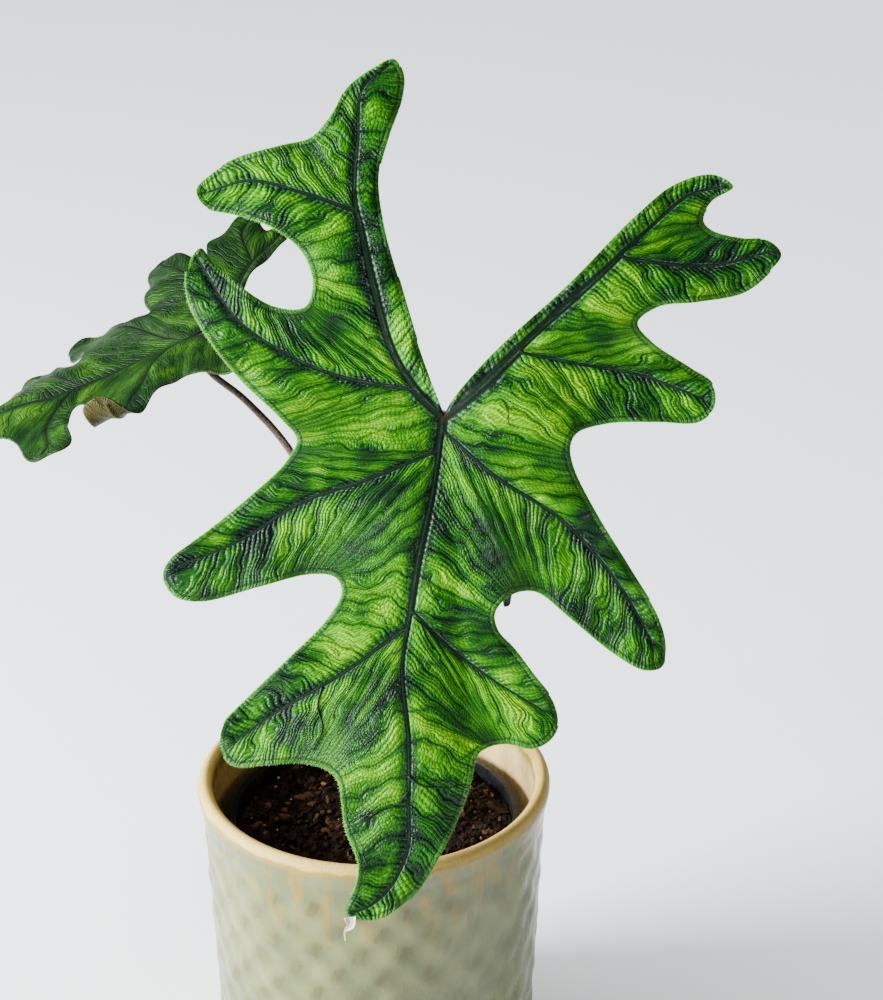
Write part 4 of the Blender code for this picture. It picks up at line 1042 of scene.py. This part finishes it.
def make_cover_pot():
    """Turned pot: radius by height along its profile, less a staggered net of shallow dents on the wall."""
    foot, rim, bowl = (smooth(*curve)[0] for curve in (FOOT_CURVE, RIM_CURVE, BOWL_CURVE))
    wall = np.column_stack((np.linspace(WALL_LOW_RADIUS, WALL_TOP_RADIUS, WALL_ROWS),
                            np.linspace(WALL_LOW, WALL_HIGH, WALL_ROWS)))
    profile = np.vstack(((POINT, 0.0), (FLAT_RADIUS, 0.0), foot, wall[1:], rim[1:], bowl[1:],
                         (FLAT_RADIUS, FLOOR), (POINT, FLOOR)))
    wall_end = len(foot) + len(wall)
    rim_end = wall_end + len(rim) - 1
    reach = lengths(profile)[:, None]
    turn = full_turn(POT_SIDES)
    radius, height = profile[:, :1], profile[:, 1:]
    row = (height - WALL_LOW) / (WALL_HIGH - WALL_LOW) * (DENT_ROWS - 1)
    fade = (reach <= reach[wall_end]) * ease(row, 0.0, 1.0) * ease(DENT_ROWS - 1 - row, 0.0, 1.0)
    dent = fade * (0.5 - 0.5 * np.cos(DENTS_ROUND * turn) * np.cos(math.pi * row))
    within = row - np.round(row)
    beside = np.sin(DENTS_ROUND * turn + math.pi * np.round(row) - STROKE_TWIST * within)
    # One side of each dent, which takes an olive stroke: partly the glaze's own colour, partly painted shade
    glaze_stroke_and_shade = fade * ease(beside, 0.5, 1.0) * ease(0.5 - abs(within), 0.0, 0.25)
    throw = THROW_DEPTH * np.sin(height / THROW_PACE + 0.4 * np.sin(turn)) * (fade + 0.3)
    throw = throw * (radius > FLAT_RADIUS)
    pot = put_round("cover_pot", turned(radius - DENT_DEPTH * dent + throw, height, turn), glaze_finish())
    give(pot, "wrap", turn * POT_RADIUS, height, ease(reach, reach[rim_end - 3], reach[rim_end + 1]))
    give(pot, "dents", dent, glaze_stroke_and_shade, 0.0)
    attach(pot, "root")
    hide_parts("pot")


def grow_radius(height):
    """Outer radius of the grow pot's wall at a height."""
    share = (height - FLOOR - GAP) / (GROW_TOP - FLOOR - GAP)
    return GROW_FOOT_RADIUS + (GROW_RADIUS - LIP_STEP - GROW_FOOT_RADIUS) * share


def soil_height(x, y):
    """The soil's top: mounds, clods and crumbs, a little higher in the middle."""
    rough = sum(high * mottle(x / wide, y / wide, seed) for high, wide, seed in SOIL_ROUGHNESS)
    return SOIL_TOP + rough + 1.0 * np.exp(-(x * x + y * y) / 300)


def make_soil():
    """Potting mix: a rough round top over a tapered plug."""
    foot = FLOOR + GAP + GROW_WALL + GAP
    low_radius, edge = (grow_radius(height) - GROW_WALL - GAP for height in (foot, SOIL_TOP))
    turn = full_turn(SOIL_SIDES)
    plug = np.array(((POINT, foot), (low_radius, foot), (edge, SOIL_TOP - 3.0)))
    rings = np.append(np.linspace(POINT, edge - 0.6, SOIL_RINGS), edge)[::-1, None]
    top = turned(rings, soil_height(rings * np.cos(turn), rings * np.sin(turn)), turn)
    spots = np.concatenate((turned(plug[:, :1], plug[:, 1:], turn), top))
    soil = put_round("soil_mix", spots, soil_finish())
    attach(soil, "root")
    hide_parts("soil")


def twenty_sided():
    """A lump with twenty equal sides: its twelve corners, and its faces wound outwards."""
    golden = (1 + math.sqrt(5)) / 2
    signs = [(s, t * golden) for s in (1, -1) for t in (1, -1)]
    lump = np.array([(0, s, t) for s, t in signs] + [(s, t, 0) for s, t in signs]
                    + [(t, 0, s) for s, t in signs])
    lump /= np.linalg.norm(lump[0])
    gaps = np.linalg.norm(lump[:, None] - lump[None], axis=2)
    near = (gaps > 0.1) & (gaps < 1.2)
    faces = [(i, j, k) for i in range(12) for j in range(i + 1, 12) for k in range(j + 1, 12)
             if near[i, j] and near[j, k] and near[i, k]]
    return lump, np.array([f if np.linalg.det(lump[list(f)]) > 0 else f[::-1] for f in faces])


def make_bits(name, count, size, flatness, colours, seed):
    """Loose bits on the soil: twenty-sided lumps, each stretched, roughened and turned in its own way."""
    draw = np.random.default_rng(seed)
    lump, faces = twenty_sided()
    low, high = size
    stretch = np.stack((draw.uniform(0.7, 1.5, count), draw.uniform(0.6, 1.1, count),
                        draw.uniform(*flatness, count)), axis=1)
    shape = lump[None] * stretch[:, None] * draw.uniform(0.75, 1.2, (count, 12, 1))
    shape *= (low + (high - low) * draw.uniform(0, 1, count) ** 2)[:, None, None] / 2
    tumbled, _ = np.linalg.qr(draw.normal(size=(count, 3, 3)))
    tumbled[:, :, 2] *= np.sign(np.linalg.det(tumbled))[:, None]
    lying = draw.uniform(0, 1, (count, 1, 1)) < LYING_SHARE
    spin = draw.uniform(0, 2 * math.pi, count)
    level = np.zeros((count, 3, 3))
    level[:, 0, 0] = level[:, 1, 1] = np.cos(spin)
    level[:, 1, 0] = np.sin(spin)
    level[:, 0, 1] = -level[:, 1, 0]
    level[:, 2, 2] = 1.0
    shape = np.einsum("nij,nkj->nki", np.where(lying, level, tumbled), shape)
    ring = np.sqrt(draw.uniform(0, 1, count)) * (grow_radius(SOIL_TOP) - GROW_WALL - 2.5)
    angle = draw.uniform(0, 2 * math.pi, count)
    x, y = ring * np.cos(angle), ring * np.sin(angle)
    centre = np.stack((x, y, soil_height(x, y) + 0.12 * high * draw.uniform(0, 1, count)), axis=1)
    spots = (shape + centre[:, None]).reshape(-1, 3) * MM
    all_faces = (12 * np.arange(count)[:, None, None] + faces[None]).reshape(-1, 3)
    bits = put_mesh(name, spots, all_faces, bits_finish(name + "_surface", colours))
    bits.data.polygons.foreach_set("use_smooth", np.zeros(len(bits.data.polygons), bool))
    give(bits, "shade", np.repeat(draw.uniform(0, 1, count), 12))
    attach(bits, "root")


def make_stalk(node, foot, course, radii, place, size, material):
    """A tapering round tube along its course, faintly fluted, up into the middle vein's underside."""
    half = VEINS["midrib"][1][0] * size
    depth = -GROOVE_LEAST * size - (GROOVE_BY_WIDTH - CORD_BY_WIDTH + KEEL) * half - THICKNESS
    tops = place(np.zeros((2, 2)), np.array((depth - 2.0, depth + 0.5)))
    points = ((*foot, STALK_FOOT), (*foot, STALK_BEND), *course, *tops)
    line, _ = smooth(points, STALK_STEP)
    along = lengths(line)[:, None]
    radius = np.interp(along / along[-1], np.linspace(0, 1, len(radii)), radii)
    turn = full_turn(STALK_SIDES)
    flute = radius * (1 + 0.03 * np.cos(5 * turn) + 0.02 * mottle(along / 9, turn * 2, 7))
    rings = line[:, None] + flute[..., None] * circles(line, (0.0, 1.0, 0.0), turn)
    stalk = put_round(node + "_tube", close_ends(rings, line, 0.01), material)
    along, radius = (np.concatenate((held[:1], held, held[-1:])) for held in (along, radius))
    give(stalk, "course", along, turn * radius, radius)
    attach(stalk, "root")
    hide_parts(node)


def make_dry_tip():
    """The leaf's dead tip: a narrow papery strip that curls along its length and ends in a thread."""
    line, _ = smooth(DRY_COURSE, 0.2)
    along = (lengths(line) / lengths(line)[-1])[:, None]
    width = np.interp(along, *DRY_WIDTHS)
    ahead = unit(np.gradient(line, axis=0))
    across = np.column_stack((-ahead[:, 1], ahead[:, 0]))
    turn = full_turn(DRY_SIDES)
    aside = width * np.cos(turn)
    crease = 0.1 * np.sin(4 * aside + 5 * along) * width
    rise = crease + 0.12 * np.sin(turn) + 0.5 * width * np.cos(turn) ** 2 - 0.6
    plan = line[:, None] + aside[..., None] * across[:, None]
    rings = place_main(plan.reshape(-1, 2), rise.ravel()).reshape(*rise.shape, 3)
    paper = cloudy_finish("dry_tip_surface", 1500.0, (0.35, 0.7), DRY_COLOURS, 0.7, 3.0, 0.0002)
    tip = put_round("leaf_main_dry_tip", close_ends(rings, rings.mean(axis=1), 0.02), paper)
    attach(tip, "root")


def put_light(name, kind, place, turn, power, **settings):
    """A light of a kind with its settings."""
    data = bpy.data.lights.new(name, kind)
    data.energy = power
    for key, value in settings.items():
        setattr(data, key, value)
    light = bpy.data.objects.new(name, data)
    light.location = place
    light.rotation_euler = turn
    bpy.context.scene.collection.objects.link(light)
    return light


MAIN_LEAF = leaf_finish("leaf_surface", GREENS, MAIN_COLOURS, 0.8, 0.2, 0.00055)
BACK_LEAF = leaf_finish("back_leaf_surface", DARK_GREENS, BACK_COLOURS, 0.3, 0.32, 0.0004)
YOUNG_LEAF = leaf_finish("young_leaf_surface", DARK_GREENS, YOUNG_COLOURS, 0.3, 0.36, 0.0004)
main_flat, main_upper, main_edge, main_inside = make_blade(
    "leaf_main", MAIN_GRID, 1.0, main_drawing, place_main, False, MAIN_SEED, MAIN_LEAF)
make_blade("leaf_back", BACK_GRID, BACK_SIZE, back_drawing, place_back, True, BACK_SEED, BACK_LEAF)
make_blade("leaf_young", YOUNG_GRID, YOUNG_SIZE, young_drawing, place_young, False, YOUNG_SEED, YOUNG_LEAF)
make_small_veins(main_flat, main_upper)
make_fringe(main_edge, main_inside)

# Soil's roughness: how high, how wide, and its draw
SOIL_ROUGHNESS = ((1.3, 14, 41), (1.1, 5.5, 42), (0.7, 2.3, 43), (0.35, 1.1, 44))
LYING_SHARE = 0.6  # of the loose bits, how many lie flat
make_cover_pot()
make_soil()
make_bits("soil_crumbs", 1500, (0.9, 3.0), (0.6, 1.0), CRUMB_COLOURS, 51)
make_bits("soil_bark", 420, (1.6, 5.0), (0.25, 0.6), BARK_COLOURS, 52)
make_bits("soil_pale_bits", 70, (1.0, 2.4), (0.5, 1.0), PALE_BIT_COLOURS, 53)

# Stalks: node, foot, course between the soil and the leaf, radii along it, and its leaf's placing and size
STALK_FOOT = SOIL_TOP - HOLE_DEPTH + GAP
STALK_BEND = SOIL_TOP + 6.0
STALK_STEP, STALK_SIDES = 1.6, 24
STALKS = (
    ("stalk_main", (5.0, -4.5), ((6.2, -3.0, 128.0), (12.0, 7.0, 180.0), (19.5, 13.0, 226.0),
                                 (23.4, 7.0, 247.5)),
     (3.4, 3.0, 2.4, 1.9, 1.7), place_main, 1.0),
    ("stalk_back", (-5.0, 3.5), ((-5.5, 9.0, 138.0), (-9.5, 31.0, 181.0), (-29.0, 58.0, 213.0),
                                 (-45.4, 70.4, 227.4), (-58.6, 77.8, 236.0)),
     (3.0, 2.4, 1.7, 1.3, 1.2), place_back, BACK_SIZE),
    ("stalk_young", (4.5, 5.5), ((6.0, 10.0, 130.0), (14.0, 28.0, 172.0), (28.0, 43.0, 201.0)),
     (2.2, 1.8, 1.4, 1.1, 0.9), place_young, YOUNG_SIZE),
)
STALK_SURFACE = stalk_finish()
for stalk_row in STALKS:
    make_stalk(*stalk_row, STALK_SURFACE)

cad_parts["grow_pot"].material_slots[0].material = plastic_finish()

# Dry tip: its course on the drawing, and its half widths by the share of its length
DRY_COURSE = (-29.4, -156.0), (-29.2, -158.6), (-31.0, -160.6), (-30.8, -163.4)
DRY_WIDTHS = (0, 0.2, 0.45, 0.66, 1), (1.9, 1.5, 0.9, 0.25, 0.12)
DRY_SIDES = 20
make_dry_tip()

# Floor, eye and light, all in metres
FLOOR_HALF = 6.0
floor_spots = [(FLOOR_HALF * x, FLOOR_HALF * y, 0.0) for x, y in ((-1, -1), (1, -1), (1, 1), (-1, 1))]
floor = put_mesh("floor", floor_spots, ((0, 1, 2, 3),), Finish("pale_floor").finish(rgb(232, 235, 238), 0.9))

EYE = (0.023, -0.7162, 0.5591)
camera_data = bpy.data.cameras.new("camera")
camera_data.lens = 88.2
camera_data.sensor_width = 36.0
camera = bpy.data.objects.new("camera", camera_data)
camera.location = EYE
camera.rotation_euler = (math.radians(90) - VIEW_PITCH, 0.0, 0.0)
bpy.context.scene.collection.objects.link(camera)
bpy.context.scene.camera = camera

SOFT_PLACE, SOFT_AIM = (-1.4, -0.38, 0.55), (0.0, 0.0, 0.2)
soft_way = unit(np.subtract(SOFT_AIM, SOFT_PLACE))
soft_turn = (math.acos(-soft_way[2]), 0.0, math.atan2(soft_way[1], soft_way[0]) - math.pi / 2)
put_light("soft_left", "AREA", SOFT_PLACE, soft_turn, 185.0, shape="RECTANGLE", size=0.7,
          size_y=0.9, color=(0.95, 0.975, 1.0))
# The light from above makes no gloss, so it lays no haze on the leaves
overhead_turn = (math.radians(-14), math.radians(-26), 0.0)
overhead = put_light("overhead", "SUN", (0.0, 0.0, 0.0), overhead_turn, 5.5, angle=math.radians(70))
overhead.visible_glossy = False

world = bpy.data.worlds.new("studio")
world.use_nodes = True
background = world.node_tree.nodes["Background"]
background.inputs["Color"].default_value = (0.93, 0.95, 0.96, 1.0)
background.inputs["Strength"].default_value = 0.16
bpy.context.scene.world = world
